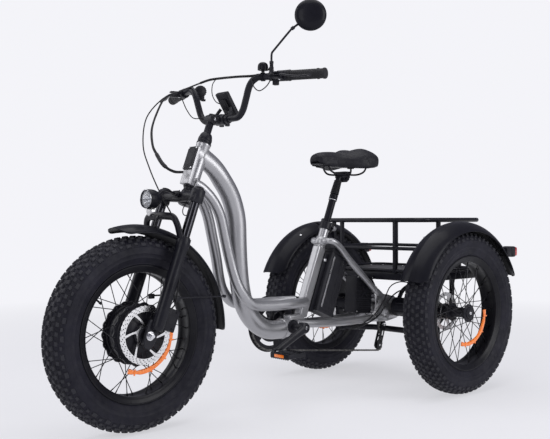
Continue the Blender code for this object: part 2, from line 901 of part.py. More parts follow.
def basket_rails(mats, parts, guides):
    """Top and middle hoops with the posts that carry them."""
    top = tube(
        "basket_rails",
        rounded_rectangle(BASKET_HALF_W, BASKET_FRONT_Y, BASKET_REAR_Y, 0.045, BASKET_TOP_Z), 0.0088,
        mats["black_metal"], parts, True, 1,
    )
    middle = tube(
        "middle_hoop",
        rounded_rectangle(BASKET_HALF_W, BASKET_FRONT_Y, BASKET_REAR_Y, 0.045, BASKET_MID_Z), 0.0070,
        None, guides, True, 1,
    )
    posts = []
    foot = FLOOR_Z - 0.0052
    height = BASKET_TOP_Z - foot
    spots = [
        (0.137, BASKET_FRONT_Y), (-0.137, BASKET_FRONT_Y), (0.165, BASKET_REAR_Y),
        (-0.165, BASKET_REAR_Y), (BASKET_HALF_W, 0.560), (-BASKET_HALF_W, 0.560),
    ]
    for x, y in spots:
        posts.append(
            block("post", (0.0140, 0.0140, height), (x, y, foot + height / 2), (0, 0, 0), None, guides),
        )
    return join(top, middle, *posts)


# ================================================================ drive
def crank_direction(side):
    return Vector((0, -math.cos(CRANK_ANGLE) * side, -math.sin(CRANK_ANGLE) * side))


def crank_arm(name, x, side, mats, collection):
    centre = Vector((x, BB_Y, BB_Z))
    tip = centre + crank_direction(side) * CRANK_LENGTH
    direction = crank_direction(side)
    arm = block(name, (0.013, 0.026, CRANK_LENGTH + 0.024), (centre + tip) / 2,
                frame_rotation(direction), mats, collection, 0.004)
    return arm, centre, tip


def crank_left(mats, parts, guides):
    """Left crank with the spindle that crosses the bottom bracket."""
    arm, centre, tip = crank_arm("crank_left", CRANK_X, 1, mats["black_metal"], parts)
    spindle = rod("spindle", (-0.0740, BB_Y, BB_Z), (0.094, BB_Y, BB_Z), 0.0098, None, guides, 14)
    boss = rod("crank_boss", (0.0740, BB_Y, BB_Z), (0.1055, BB_Y, BB_Z), 0.0190, None, guides, 16)
    hole = rod("pedal_hole", tip - Vector((0.02, 0, 0)), tip + Vector((0.02, 0, 0)), 0.0074, None, guides, 16)
    return cut(join(arm, spindle, boss), hole)


def crank_right(mats, parts, guides):
    """Right crank with the chainring bolted on its spider."""
    arm, centre, tip = crank_arm("crank_right", -CRANK_X, -1, mats["black_metal"], parts)
    boss = rod("crank_boss_right", (-0.1055, BB_Y, BB_Z), (-0.0740, BB_Y, BB_Z), 0.0190, None, guides, 16)
    windows = []
    for index in range(5):
        loop = []
        first = math.radians(72 * index + 10)
        last = math.radians(72 * index + 62)
        for step in range(4):
            angle = first + (last - first) * step / 3
            loop.append((0.0760 * math.cos(angle), 0.0760 * math.sin(angle)))
        for angle in (last, first):
            loop.append((0.0340 * math.cos(angle), 0.0340 * math.sin(angle)))
        windows.append(loop)
    ring = plate("chainring", circle(CHAINRING_R - 0.0050, 30), 0.0030, Vector((CHAINRING_X, BB_Y, BB_Z)),
                 Vector((1, 0, 0)), None, guides, windows)
    hole = rod(
        "pedal_hole_right", tip - Vector((0.02, 0, 0)), tip + Vector((0.02, 0, 0)), 0.0074, None,
        guides, 16,
    )
    bore = rod("spindle_bore", (-0.0744, BB_Y, BB_Z), (-0.0600, BB_Y, BB_Z), 0.0103, None, guides, 14)
    return cut(join(arm, boss, ring), hole, bore)


def pedal(side, mats, parts, guides):
    """Pedal body with its axle screwed in the crank's end."""
    name = "pedal_left" if side > 0 else "pedal_right"
    tip = Vector((side * CRANK_X, BB_Y, BB_Z)) + crank_direction(side) * CRANK_LENGTH
    out = Vector((side, 0, 0))
    body = block(
        name, (0.092, 0.084, 0.026), tip + out * 0.062, (0, 0, 0), mats["black_plastic"], parts, 0.005,
    )
    slots = []
    for shift in (-0.026, 0.026):
        slots.append(
            block(
                "pedal_slot", (0.062, 0.022, 0.06), tip + out * 0.062 + Vector((0, shift, 0)),
                (0, 0, 0), None, guides,
            ),
        )
    axle = rod("pedal_axle", tip - out * 0.0060, tip + out * 0.030, 0.0070, None, guides, 16)
    return join(cut(body, *slots), axle)


def cassette(mats, parts):
    """Sprocket stack on its drum, on the axle between the dropouts."""
    profile = [
        (0.0000, 0.0526),
        (0.0120, 0.0526),
        (0.0120, 0.0440),
        (0.0200, 0.0430),
        (0.0200, 0.0060),
        (0.0480, 0.0040),
        (0.0480, 0.0000),
        (0.0360, -0.0150),
        (0.0305, -0.0200),
        (0.0264, -0.0235),
        (0.0264, -0.0350),
        (0.0200, -0.0440),
        (0.0120, -0.0440),
        (0.0120, -0.0526),
        (0.0000, -0.0526),
    ]
    return turned(
        "cassette", profile, Vector((0, REAR_AXLE_Y, TYRE_R)), Vector((1, 0, 0)), mats["steel"], parts,
        16, closed=False,
    )


def belt_route(wheels):
    """Points of a belt round wheels given as (y, z, radius, turn, x, steps).

    The turn is 1 where the belt goes round a wheel with its centre on the
    left, and -1 where the centre is on the right.
    """
    contacts = []
    for index, wheel in enumerate(wheels):
        following = wheels[(index + 1) % len(wheels)]
        dy = following[0] - wheel[0]
        dz = following[1] - wheel[1]
        span = math.hypot(dy, dz)
        dy /= span
        dz /= span
        first = wheel[2] * wheel[3]
        second = following[2] * following[3]
        lean = (first - second) / span
        rise = math.sqrt(1 - lean * lean)
        normal = (lean * dy + rise * dz, lean * dz - rise * dy)
        contacts.append((first, second, normal))
    points = []
    for index, wheel in enumerate(wheels):
        y, z, radius, turn, x, steps = wheel
        arriving = contacts[index - 1][2]
        leaving = contacts[index][2]
        start = math.atan2(arriving[1] * turn, arriving[0] * turn)
        end = math.atan2(leaving[1] * turn, leaving[0] * turn)
        sweep = (end - start) * turn % math.tau * turn
        for step in range(steps + 1):
            angle = start + sweep * step / steps
            points.append((x, y + radius * math.cos(angle), z + radius * math.sin(angle)))
    return points


LOWER_JOCKEY = (0.5600, 0.1400)
UPPER_JOCKEY = (0.5900, 0.2180)
JOCKEY_R = 0.0222


def chain(mats, parts):
    """Chain round the chainring, the derailleur's two wheels and the sprocket."""
    route = belt_route(
        [
            (BB_Y, BB_Z, CHAINRING_R, 1, CHAINRING_X, 14),
            (*LOWER_JOCKEY, JOCKEY_R, 1, COG_X, 5),
            (*UPPER_JOCKEY, JOCKEY_R, -1, COG_X, 3),
            (REAR_AXLE_Y, TYRE_R, COG_R, 1, COG_X, 6),
        ]
    )
    return tube("chain", route, 0.0032, mats["steel"], parts, True, 0)


def derailleur(mats, parts, guides):
    """Body, cage plates and jockey wheels below the right dropout."""
    outline = [
        (0.604, 0.230),
        (0.576, 0.232),
        (0.543, 0.150),
        (0.540, 0.124),
        (0.562, 0.118),
        (0.580, 0.138),
    ]
    outer = plate("derailleur", [(y - REAR_AXLE_Y, z - 0.17) for y, z in outline], 0.0020,
                  Vector((COG_X - 0.0075, REAR_AXLE_Y, 0.17)), Vector((1, 0, 0)), mats["black_metal"], parts,
                  (), Vector((0, 1, 0)))
    inner = plate("cage_inner", [(y - REAR_AXLE_Y, z - 0.17) for y, z in outline], 0.0020,
                  Vector((COG_X + 0.0075, REAR_AXLE_Y, 0.17)), Vector((1, 0, 0)), None, guides,
                  (), Vector((0, 1, 0)))
    pieces = [inner]
    for y, z in (LOWER_JOCKEY, UPPER_JOCKEY):
        pieces.append(rod("jockey", (COG_X - 0.0080, y, z), (COG_X + 0.0080, y, z), 0.0060, None, guides, 8))
        pieces.append(
            rod(
                "jockey_wheel", (COG_X - 0.0012, y, z), (COG_X + 0.0012, y, z), 0.0180, None, guides,
                12,
            ),
        )
    pieces.append(
        block(
            "knuckle", (0.0140, 0.028, 0.034), (COG_X - 0.0150, 0.590, 0.226), (math.radians(10), 0, 0),
            None, guides, 0.003,
        ),
    )
    pieces.append(
        rod(
            "hanger_bolt", (COG_X - 0.0180, 0.5900, 0.2360), (COG_X - 0.0200, 0.5880, 0.2580), 0.0050,
            None, guides, 8,
        ),
    )
    return join(outer, *pieces)


# ================================================================ battery and seat
def battery_rail(mats, parts):
    """Fixed rail with the lock, on the back of the seat tube."""
    return block("battery_rail", (0.036, 0.018, 0.226), seat_point(0, 0.120, -0.0300), (-SEAT_TILT, 0, 0),
                 mats["black_plastic"], parts, 0.002)


def battery(mats, parts, guides):
    """Battery pack that slides up off its rail between the stays."""
    body = block("battery", (0.072, 0.094, 0.248), seat_point(0, 0.138, -0.0870), (-SEAT_TILT, 0, 0),
                 mats["battery"], parts, 0.007)
    handle = block(
        "battery_handle", (0.024, 0.060, 0.016), seat_point(0, 0.264, -0.090), (-SEAT_TILT, 0, 0), None,
        guides, 0.004,
    )
    return join(body, handle)


def controller_box(mats, parts):
    """Sealed motor controller between the stays."""
    return block("controller_box", (0.064, 0.100, 0.150), (0, 0.408, 0.358), (math.radians(-4), 0, 0),
                 mats["black_plastic"], parts, 0.004)


def seatpost(mats, parts, guides):
    """Lower post with the collar of its suspension."""
    post = rod(
        "seatpost", seat_point(0, 0.080, 0), seat_point(0, 0.452, 0), POST_R, mats["black_metal"],
        parts, 20,
    )
    collar = rod("post_collar", seat_point(0, 0.436, 0), seat_point(0, 0.458, 0), 0.0160, None, guides, 20)
    bore = rod("post_hollow", seat_point(0, 0.330, 0), seat_point(0, 0.50, 0), 0.0115, None, guides, 18)
    return cut(join(post, collar), bore)


def seat_head(mats, parts, guides):
    """Sprung inner post with its boot, clamp and the saddle's rails."""
    inner = rod(
        "seat_head", seat_point(0, 0.380, 0), seat_point(0, 0.530, 0), 0.0109, mats["black_metal"],
        parts, 18,
    )
    boot = rod("boot", seat_point(0, 0.490, 0), seat_point(0, 0.516, 0), 0.0165, None, guides, 18, 0.0140)
    clamp = block("rail_clamp", (0.058, 0.042, 0.026), (0, 0.318, 0.8200), (0, 0, 0), None, guides, 0.004)
    pieces = [boot, clamp]
    for side in (1, -1):
        route = smooth_route(
            [
                (side * 0.012, 0.226, 0.8540),
                (side * 0.016, 0.234, 0.8330),
                (side * 0.022, 0.262, 0.8210),
                (side * 0.022, 0.318, 0.8200),
                (side * 0.024, 0.372, 0.8210),
                (side * 0.034, 0.402, 0.8330),
                (side * 0.042, 0.412, 0.8540),
            ],
            1,
        )
        pieces.append(tube("rail", route, 0.0036, None, guides, False, 1))
    return join(inner, *pieces)


def saddle(mats, parts, guides):
    """Padded saddle: broad two-lobed rear and a short nose."""
    mesh = bpy.data.meshes.new("saddle")
    bm = bmesh.new()
    rings = [
        (0.160, 0.018, 0.862, 0.884),
        (0.176, 0.034, 0.856, 0.896),
        (0.220, 0.046, 0.853, 0.903),
        (0.270, 0.066, 0.852, 0.907),
        (0.320, 0.098, 0.853, 0.914),
        (0.370, 0.116, 0.856, 0.922),
        (0.410, 0.112, 0.860, 0.924),
        (0.434, 0.092, 0.866, 0.914),
    ]
    rows = []
    for y, half, low, high in rings:
        row = []
        middle = (low + high) / 2
        rise = (high - low) / 2
        for index in range(12):
            angle = math.tau * index / 12
            c = math.cos(angle)
            s = math.sin(angle)
            x = half * math.copysign(abs(c) ** 0.7, c)
            z = middle + rise * math.copysign(abs(s) ** 0.7, s)
            if index in (7, 11):
                z = low - 0.014
            row.append(bm.verts.new((x, y, z)))
        rows.append(row)
    for a, b in zip(rows, rows[1:]):
        for i in range(12):
            j = (i + 1) % 12
            bm.faces.new((a[i], a[j], b[j], b[i]))
    bm.faces.new(rows[0])
    bm.faces.new(rows[-1])
    bmesh.ops.recalc_face_normals(bm, faces=bm.faces)
    bm.to_mesh(mesh)
    bm.free()
    smooth(mesh)
    obj = add_object("saddle", mesh, mats["saddle"], parts)
    clears = []
    for side in (1, -1):
        clears.append(
            block(
                "rail_front_clear", (0.0100, 0.016, 0.016), (side * 0.0125, 0.2265, 0.853), (0, 0, 0),
                None, guides,
            ),
        )
        clears.append(
            block(
                "rail_rear_clear", (0.0120, 0.016, 0.016), (side * 0.0415, 0.4115, 0.853), (0, 0, 0),
                None, guides,
            ),
        )
    return cut(obj, *clears)


# ================================================================ cockpit
def bar_half():
    """The bar's centre line on the left, from the middle to the end."""
    return [
        (0.000, BAR_Y, BAR_Z),
        (0.060, BAR_Y, BAR_Z),
        (0.088, BAR_Y, BAR_Z + 0.003),
        (0.110, BAR_Y, BAR_Z + 0.022),
        (0.125, BAR_Y, BAR_Z + 0.055),
        (0.139, BAR_Y, BAR_Z + 0.090),
        (0.153, BAR_Y + 0.0020, BAR_Z + 0.110),
    ]


GRIP_START = Vector((0.257, BAR_Y + 0.037, BAR_Z + 0.120))
GRIP_END = Vector((0.400, BAR_Y + 0.089, BAR_Z + 0.116))
GRIP_AXIS = (GRIP_END - GRIP_START).normalized()


def bar_at(x):
    """The bar's centre at x, along its straight outer part."""
    return GRIP_START + GRIP_AXIS * ((x - GRIP_START.x) / GRIP_AXIS.x)


def mirrored(vector, side):
    return Vector((vector.x * side, vector.y, vector.z))


def handlebar(mats, parts):
    half = [Vector(p) for p in bar_half()] + [bar_at(0.174), bar_at(0.394)]
    route = [mirrored(p, -1) for p in reversed(half[1:])] + half
    return tube("handlebar", route, BAR_R, mats["black_metal"], parts, False, 3)


def stem(mats, parts, guides):
    """Headset cover, column and the clamp that holds the bar."""
    profile = [
        (0.0000, 0.262),
        (0.0125, 0.262),
        (0.0125, 0.196),
        (0.0160, 0.192),
        (0.0236, HEAD_LENGTH + 0.0004),
        (0.0106, HEAD_LENGTH + 0.0004),
        (0.0106, 0.085),
        (0.0000, 0.085),
    ]
    column = turned("stem", profile, HEAD_BASE, STEER_AXIS, mats["black_metal"], parts, 18, closed=False)
    top = steer_point(0, 0.246, 0)
    clamp_centre = Vector((0, BAR_Y, BAR_Z))
    neck = rod("stem_neck", top, clamp_centre, 0.0150, None, guides, 16)
    knuckle = rod("stem_knuckle", (-0.019, top.y, top.z), (0.019, top.y, top.z), 0.0165, None, guides, 16)
    clamp = rod("bar_clamp", (-0.024, BAR_Y, BAR_Z), (0.024, BAR_Y, BAR_Z), 0.0185, None, guides, 16)
    bore = rod("bar_bore", (-0.05, BAR_Y, BAR_Z), (0.05, BAR_Y, BAR_Z), BAR_R + 0.0009, None, guides, 16)
    return cut(join(column, neck, knuckle, clamp), bore)


def grip(side, mats, parts):
    """Rubber grip, closed at its outer end."""
    name = "grip_left" if side > 0 else "grip_right"
    length = (GRIP_END - GRIP_START).length
    profile = [
        (0.0000, length),
        (0.0145, length),
        (0.0172, length - 0.003),
        (0.0158, length - 0.016),
        (0.0158, 0.036),
        (0.0180, 0.030),
        (0.0180, 0.024),
        (BAR_R + 0.0009, 0.024),
        (BAR_R + 0.0009, length - 0.0035),
        (0.0000, length - 0.0035),
    ]
    return turned(
        name, profile, mirrored(GRIP_START, side), mirrored(GRIP_AXIS, side), mats["rubber"], parts, 14,
        closed=False,
    )


def lever_clamp(side, mats, parts, guides):
    """Clamp with the brake lever's housing and, on the right, the gear pod."""
    name = "lever_clamp_left" if side > 0 else "lever_clamp_right"
    start = mirrored(GRIP_START, side)
    axis = mirrored(GRIP_AXIS, side)
    ahead = Vector((0, 0, 1)).cross(axis) * -side
    profile = [
        (BAR_R + 0.0009, 0.011),
        (0.0175, 0.011),
        (0.0175, -0.016),
        (BAR_R + 0.0009, -0.016),
    ]
    clamp = turned(name, profile, start, axis, mats["black_plastic"], parts, 14)
    turn = frame_rotation(axis, Vector((0, 0, 1)))
    housing = block(
        "lever_housing", (0.022, 0.036, 0.024), start + ahead * 0.031 - Vector((0, 0, 0.004)), turn,
        None, guides, 0.003,
    )
    slot = block(
        "lever_slot", (0.0110, 0.034, 0.040),
        start + ahead * 0.044 + axis * 0.004 - Vector((0, 0, 0.004)), turn, None, guides,
    )
    clear = rod("bar_clear", start - axis * 0.090, start + axis * 0.030, BAR_R + 0.0009, None, guides, 14)
    pieces = [housing]
    if side < 0:
        pod_at = start - axis * 0.084 - ahead * 0.034 - Vector((0, 0, 0.004))
        arm_at = start - axis * 0.044 - ahead * 0.012
        pieces.append(block("pod", (0.044, 0.032, 0.030), pod_at, turn, None, guides, 0.008))
        pieces.append(block("pod_arm", (0.012, 0.028, 0.064), arm_at, turn, None, guides))
    return cut(join(clamp, *pieces), clear, slot)


def brake_lever(side, mats, parts):
    """Lever blade that pivots in its clamp's housing."""
    name = "brake_lever_left" if side > 0 else "brake_lever_right"
    start = mirrored(GRIP_START, side)
    axis = mirrored(GRIP_AXIS, side)
    ahead = Vector((0, 0, 1)).cross(axis) * -side
    drop = Vector((0, 0, -0.004))
    route = smooth_route(
        [
            start + ahead * 0.044 - axis * 0.004 + drop,
            start + ahead * 0.047 + axis * 0.010 + drop,
            start + ahead * 0.049 + axis * 0.024 + drop,
            start + ahead * 0.050 + axis * 0.044 + drop * 2,
            start + ahead * 0.049 + axis * 0.075 + drop * 3,
            start + ahead * 0.051 + axis * 0.110 + drop * 3,
            start + ahead * 0.054 + axis * 0.124 + drop * 3,
        ],
        1,
    )
    return tube(name, route, 0.0039, mats["black_metal"], parts, False, 2)


def display(mats, parts, guides):
    """Display unit on an arm from the bar."""
    centre = Vector((0.000, -0.2560, 1.0400))
    body = block(
        "display", (0.058, 0.086, 0.018), centre, (math.radians(-56), 0, 0), mats["black_plastic"],
        parts, 0.004,
    )
    arm = block(
        "display_arm", (0.012, 0.012, 0.040), (0.0340, -0.2620, 1.0080), (math.radians(-20), 0, 0),
        None, guides,
    )
    foot = block(
        "display_foot", (0.026, 0.010, 0.024), (0.0275, -0.2560, 1.0220), (math.radians(-34), 0, 0),
        None, guides,
    )
    ring = rod("display_ring", (0.0270, BAR_Y, BAR_Z), (0.0410, BAR_Y, BAR_Z), 0.0150, None, guides, 20)
    clear = rod(
        "display_bore", (0.010, BAR_Y, BAR_Z), (0.060, BAR_Y, BAR_Z), BAR_R + 0.0009, None, guides, 20,
    )
    return cut(join(body, arm, foot, ring), clear)


def headlight(mats, parts, guides):
    """Headlight with its horn below, on an arm from the fork crown."""
    profile = [
        (0.0000, 0.0270),
        (0.0300, 0.0250),
        (0.0315, 0.0200),
        (0.0315, 0.0020),
        (0.0260, -0.0160),
        (0.0140, -0.0240),
        (0.0000, -0.0250),
    ]
    centre = Vector((0, -0.5600, 0.7140))
    lamp = turned(
        "headlight", profile, centre, Vector((0, -1, 0)), mats["black_plastic"], parts, 20,
        closed=False,
    )
    horn = rod("horn", (0, -0.5740, 0.6760), (0, -0.5600, 0.6760), 0.0145, None, guides, 14)
    neck = block("horn_neck", (0.012, 0.010, 0.030), (0, -0.5640, 0.6900), (0, 0, 0), None, guides)
    arm = tube("lamp_arm", smooth_route([(0, -0.5420, 0.7280), (0, -0.5200, 0.7420), (0, -0.4960, 0.7400),
                                         steer_point(0, -0.041, 0.0495)], 1), 0.0065, None, guides, False, 1)
    foot = block(
        "lamp_foot", (0.034, 0.0040, 0.026), steer_point(0, -0.041, 0.0495), (-HEAD_TILT, 0, 0), None,
        guides,
    )
    return join(lamp, neck, horn, arm, foot)


def bell(mats, parts, guides):
    """Bell standing on a band round the bar."""
    centre = bar_at(0.193)
    band_ring = turned(
        "bell", [(BAR_R + 0.0009, 0.006), (0.0140, 0.006), (0.0140, -0.006), (BAR_R + 0.0009, -0.006)],
        centre, GRIP_AXIS, mats["black_metal"], parts, 14,
    )
    dome = turned(
        "bell_dome",
        [
            (0.0, 0.047), (0.009, 0.0455), (0.0150, 0.040), (0.0170, 0.031), (0.0165, 0.022),
            (0.0060, 0.020), (0.0, 0.020),
        ],
        centre, Vector((0, 0, 1)), None, guides, 14, closed=False,
    )
    foot = block("bell_foot", (0.009, 0.009, 0.010), centre + Vector((0, 0, 0.0180)), (0, 0, 0), None, guides)
    return join(band_ring, foot, dome)


MIRROR_BALL = Vector((0.2740, -0.2060, 1.2610))
MIRROR_CENTRE = Vector((0.3030, -0.1750, 1.2930))
MIRROR_ARM = (MIRROR_CENTRE - MIRROR_BALL).normalized()


def mirror_stalk(mats, parts, guides):
    """Mirror's bent stalk with the socket at its upper end."""
    foot = bar_at(0.2220)
    stalk = tube(
        "mirror_stalk",
        [
            foot + Vector((0, 0, 0.030)), foot + Vector((0, 0, 0.062)),
            foot + Vector((0.001, 0.001, 0.074)), foot + Vector((0.006, 0.006, 0.084)),
            MIRROR_BALL - MIRROR_ARM * 0.012, MIRROR_BALL - MIRROR_ARM * 0.004,
        ],
        0.0034, mats["black_metal"], parts, False, 1,
    )
    hub = rod(
        "stalk_hub", foot + Vector((0, 0, 0.0215)), foot + Vector((0, 0, 0.048)), 0.0070, None, guides,
        12,
    )
    socket = rod("mirror_socket", MIRROR_BALL - MIRROR_ARM * 0.010, MIRROR_BALL, 0.0060, None, guides, 12)
    return join(stalk, hub, socket)


def mirror_clamp(mats, parts, guides):
    foot = bar_at(0.2220)
    ring = turned(
        "mirror_clamp",
        [(BAR_R + 0.0009, 0.006), (0.0150, 0.006), (0.0150, -0.006), (BAR_R + 0.0009, -0.006)], foot,
        GRIP_AXIS, mats["black_metal"], parts, 14,
    )
    boss = rod(
        "mirror_boss", foot + Vector((0, 0, 0.0130)), foot + Vector((0, 0, 0.0212)), 0.0075, None,
        guides, 16,
    )
    return join(ring, boss)


def mirror_head(mats, parts, guides):
    """Round mirror with its glass facing the rider, turning on its neck."""
    towards = Vector((-0.55, 0.82, 0.12))
    face = (towards - MIRROR_ARM * towards.dot(MIRROR_ARM)).normalized()
    profile = [
        (0.0000, 0.0060),
        (0.0490, 0.0060),
        (0.0510, 0.0040),
        (0.0490, -0.0040),
        (0.0380, -0.0110),
        (0.0160, -0.0150),
        (0.0000, -0.0155),
    ]
    head = turned(
        "mirror_head", profile, MIRROR_CENTRE + MIRROR_ARM * 0.0120, face, mats["black_plastic"], parts,
        20, closed=False,
    )
    neck = rod("mirror_neck", MIRROR_BALL + MIRROR_ARM * 0.0003, MIRROR_CENTRE, 0.0035, None, guides, 8)
    return join(head, neck)


def front_cables(mats, parts):
    """Bundle from the right end of the bar round to the head tube's lower front."""
    route = smooth_route(
        [
            (-0.2050, -0.3150, 1.0960),
            (-0.2070, -0.3640, 1.0720),
            (-0.1980, -0.4080, 1.0080),
            (-0.1750, -0.4420, 0.9520),
            (-0.1350, -0.4650, 0.8970),
            (-0.1000, -0.4720, 0.8620),
            (-0.0600, -0.4740, 0.8270),
            (-0.0250, -0.4600, 0.8060),
            (0.0000, -0.4415, 0.8026),
        ],
        4,
    )
    return tube("front_cables", route, 0.0045, mats["rubber"], parts, False, 2)


def rear_cables(mats, parts):
    """Lead looping from the chain stay to the left axle housing."""
    route = smooth_route(
        [
            (0.0620, 0.3700, 0.2450),
            (0.0660, 0.4500, 0.2750),
            (0.0740, 0.5000, 0.3300),
            (0.0900, 0.5350, 0.3620),
            (0.1200, 0.5500, 0.3720),
            (0.1600, 0.5600, 0.3640),
            (0.2000, 0.5650, 0.3450),
        ],
        3,
    )
    return tube("rear_cables", route, 0.0030, mats["rubber"], parts, False, 2)


# ================================================================ assembly
def build():
    clear_scene()
    parts = new_collection("electric_tricycle")
    guides = new_collection("cutters")
    pivots = new_collection("pivots")
    mats = {
        "silver_paint": material("silver_paint", (0.62, 0.62, 0.63), 0.85, 0.32),
        "silver": material("silver", (0.70, 0.71, 0.73), 1.0, 0.25),
        "steel": material("steel", (0.45, 0.45, 0.47), 1.0, 0.35),
        "black_metal": material("black_metal", (0.020, 0.020, 0.023), 0.4, 0.38),
        "black_plastic": material("black_plastic", (0.022, 0.022, 0.026), 0.0, 0.48),
        "battery": material("battery", (0.018, 0.018, 0.022), 0.0, 0.42),
        "rubber": material("rubber", (0.018, 0.018, 0.020), 0.0, 0.70),
        "tyre": material("tyre", (0.030, 0.030, 0.034), 0.0, 0.80),
        "rim": material("rim", (0.018, 0.018, 0.020), 0.6, 0.35),
        "fender": material("fender", (0.015, 0.015, 0.018), 0.0, 0.25),
        "grey_panel": material("grey_panel", (0.22, 0.22, 0.24), 0.5, 0.45),
        "saddle": material("saddle", (0.018, 0.018, 0.020), 0.0, 0.60),
    }
    front = Vector((0, FRONT_AXLE_Y, TYRE_R))

    head_tube(mats, parts, guides)
    rack_plate(mats, parts)
    down_tube(mats, parts, guides)
    side_tube(1, mats, parts, guides)
    side_tube(-1, mats, parts, guides)
    seat_tube(mats, parts, guides)
    seat_stays(mats, parts, guides)
    chain_stay(1, mats, parts, guides)
    chain_stay(-1, mats, parts, guides)
    clamp = seat_clamp(mats, parts, guides)
    battery_rail(mats, parts)
    controller_box(mats, parts)
    rear_subframe(mats, parts, guides)
    basket_base(mats, parts, guides)
    basket_floor(mats, parts)
    basket_rails(mats, parts, guides)
    rear_fender(1, mats, parts, guides)
    rear_fender(-1, mats, parts, guides)
    chain(mats, parts)
    derailleur(mats, parts, guides)
    rear_cables(mats, parts)

    steering = pivot("steering_axis", HEAD_BASE, STEER_AXIS, pivots)
    travel = pivot("fork_travel", steer_point(0, AXLE_DROP, AXLE_FORWARD), STEER_AXIS, pivots)
    attach(steering, travel)
    attach(
        steering,
        fork_crown(mats, parts, guides),
        stem(mats, parts, guides),
        handlebar(mats, parts),
        grip(1, mats, parts),
        grip(-1, mats, parts),
        lever_clamp(1, mats, parts, guides),
        lever_clamp(-1, mats, parts, guides),
        display(mats, parts, guides),
        headlight(mats, parts, guides),
        bell(mats, parts, guides),
        mirror_clamp(mats, parts, guides),
        front_cables(mats, parts),
    )
    for side in (1, -1):
        start = mirrored(GRIP_START, side)
        ahead = Vector((0, 0, 1)).cross(mirrored(GRIP_AXIS, side)) * -side
        lever_pivot = pivot("lever_pivot_left" if side > 0 else "lever_pivot_right",
                            start + ahead * 0.044, Vector((0, 0, 1)), pivots)
        attach(steering, lever_pivot)
        attach(lever_pivot, brake_lever(side, mats, parts))
    mirror_pivot = pivot("mirror_pivot", bar_at(0.2220), Vector((0, 0, 1)), pivots)
    attach(steering, mirror_pivot)
    mirror_turn = pivot("mirror_turn", MIRROR_BALL, MIRROR_ARM, pivots)
    attach(mirror_pivot, mirror_turn, mirror_stalk(mats, parts, guides))
    attach(mirror_turn, mirror_head(mats, parts, guides))
    attach(travel, fork_lowers(mats, parts, guides), front_axle(mats, parts, guides),
           caliper(mats, parts, guides), front_fender(mats, parts, guides))
    front_spin = pivot("front_wheel_axis", front, Vector((1, 0, 0)), pivots)
    attach(travel, front_spin)
    attach(front_spin, tyre("front_tyre", front, mats, parts), rim("front_rim", front, mats, parts),
           hub_motor(mats, parts, guides, front), rotor_disc(mats, parts, front))
    for side in (1, -1):
        word = "left" if side > 0 else "right"
        centre = Vector((side * HALF_TRACK, REAR_AXLE_Y, TYRE_R))
        spin = pivot("rear_axis_" + word, centre, Vector((1, 0, 0)), pivots)
        attach(spin, tyre("rear_tyre_" + word, centre, mats, parts),
               rim("rear_rim_" + word, centre, mats, parts), rear_hub(side, mats, parts, guides))
    crank_axis = pivot("crank_axis", (0, BB_Y, BB_Z), Vector((1, 0, 0)), pivots)
    attach(crank_axis, crank_left(mats, parts, guides), crank_right(mats, parts, guides))
    for side in (1, -1):
        tip = Vector((side * CRANK_X, BB_Y, BB_Z)) + crank_direction(side) * CRANK_LENGTH
        pedal_axis = pivot(
            "pedal_axis_left" if side > 0 else "pedal_axis_right", tip, Vector((1, 0, 0)), pivots,
        )
        attach(crank_axis, pedal_axis)
        attach(pedal_axis, pedal(side, mats, parts, guides))
    cog_axis = pivot("cassette_axis", (0, REAR_AXLE_Y, TYRE_R), Vector((1, 0, 0)), pivots)
    attach(cog_axis, cassette(mats, parts))
    battery_slide = pivot("battery_slide", seat_point(0, 0.138, -0.087), SEAT_AXIS, pivots)
    attach(battery_slide, battery(mats, parts, guides))
    seat_slide = pivot("seat_slide", seat_point(0, 0.285, 0), SEAT_AXIS, pivots)
    seat_spring = pivot("seat_spring", seat_point(0, 0.458, 0), SEAT_AXIS, pivots)
    attach(seat_slide, seat_spring)
    attach(seat_slide, seatpost(mats, parts, guides))
    attach(seat_spring, seat_head(mats, parts, guides), saddle(mats, parts, guides))


build()
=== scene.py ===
"""Looks of the electric cargo tricycle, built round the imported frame.

Row frame in metres: +X is the rider's left, the front wheel points along -Y, +Z is up.
"""

import math
from math import cos, exp, radians, sin, sqrt

import bmesh
import bpy
from mathutils import Matrix, Vector


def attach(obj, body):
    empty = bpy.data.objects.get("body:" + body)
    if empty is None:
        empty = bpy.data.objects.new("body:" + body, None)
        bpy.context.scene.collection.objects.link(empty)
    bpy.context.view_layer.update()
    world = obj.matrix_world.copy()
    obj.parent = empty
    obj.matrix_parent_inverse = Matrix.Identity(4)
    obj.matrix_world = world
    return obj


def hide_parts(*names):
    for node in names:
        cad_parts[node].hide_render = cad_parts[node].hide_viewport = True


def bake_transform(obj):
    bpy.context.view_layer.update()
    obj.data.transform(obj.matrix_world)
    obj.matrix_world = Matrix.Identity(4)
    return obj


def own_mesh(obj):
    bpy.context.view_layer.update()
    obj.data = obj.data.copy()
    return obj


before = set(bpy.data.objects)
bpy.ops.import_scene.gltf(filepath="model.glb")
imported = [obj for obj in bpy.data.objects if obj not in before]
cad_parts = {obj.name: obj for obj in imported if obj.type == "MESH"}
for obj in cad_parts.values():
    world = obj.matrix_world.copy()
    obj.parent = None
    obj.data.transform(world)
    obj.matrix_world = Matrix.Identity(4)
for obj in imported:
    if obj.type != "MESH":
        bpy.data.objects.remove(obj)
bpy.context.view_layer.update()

TAU = math.tau
TAG = {1: "left", -1: "right"}
X = Vector((1, 0, 0))
Y = Vector((0, 1, 0))
Z = Vector((0, 0, 1))


def V(*numbers):
    return Vector(numbers)


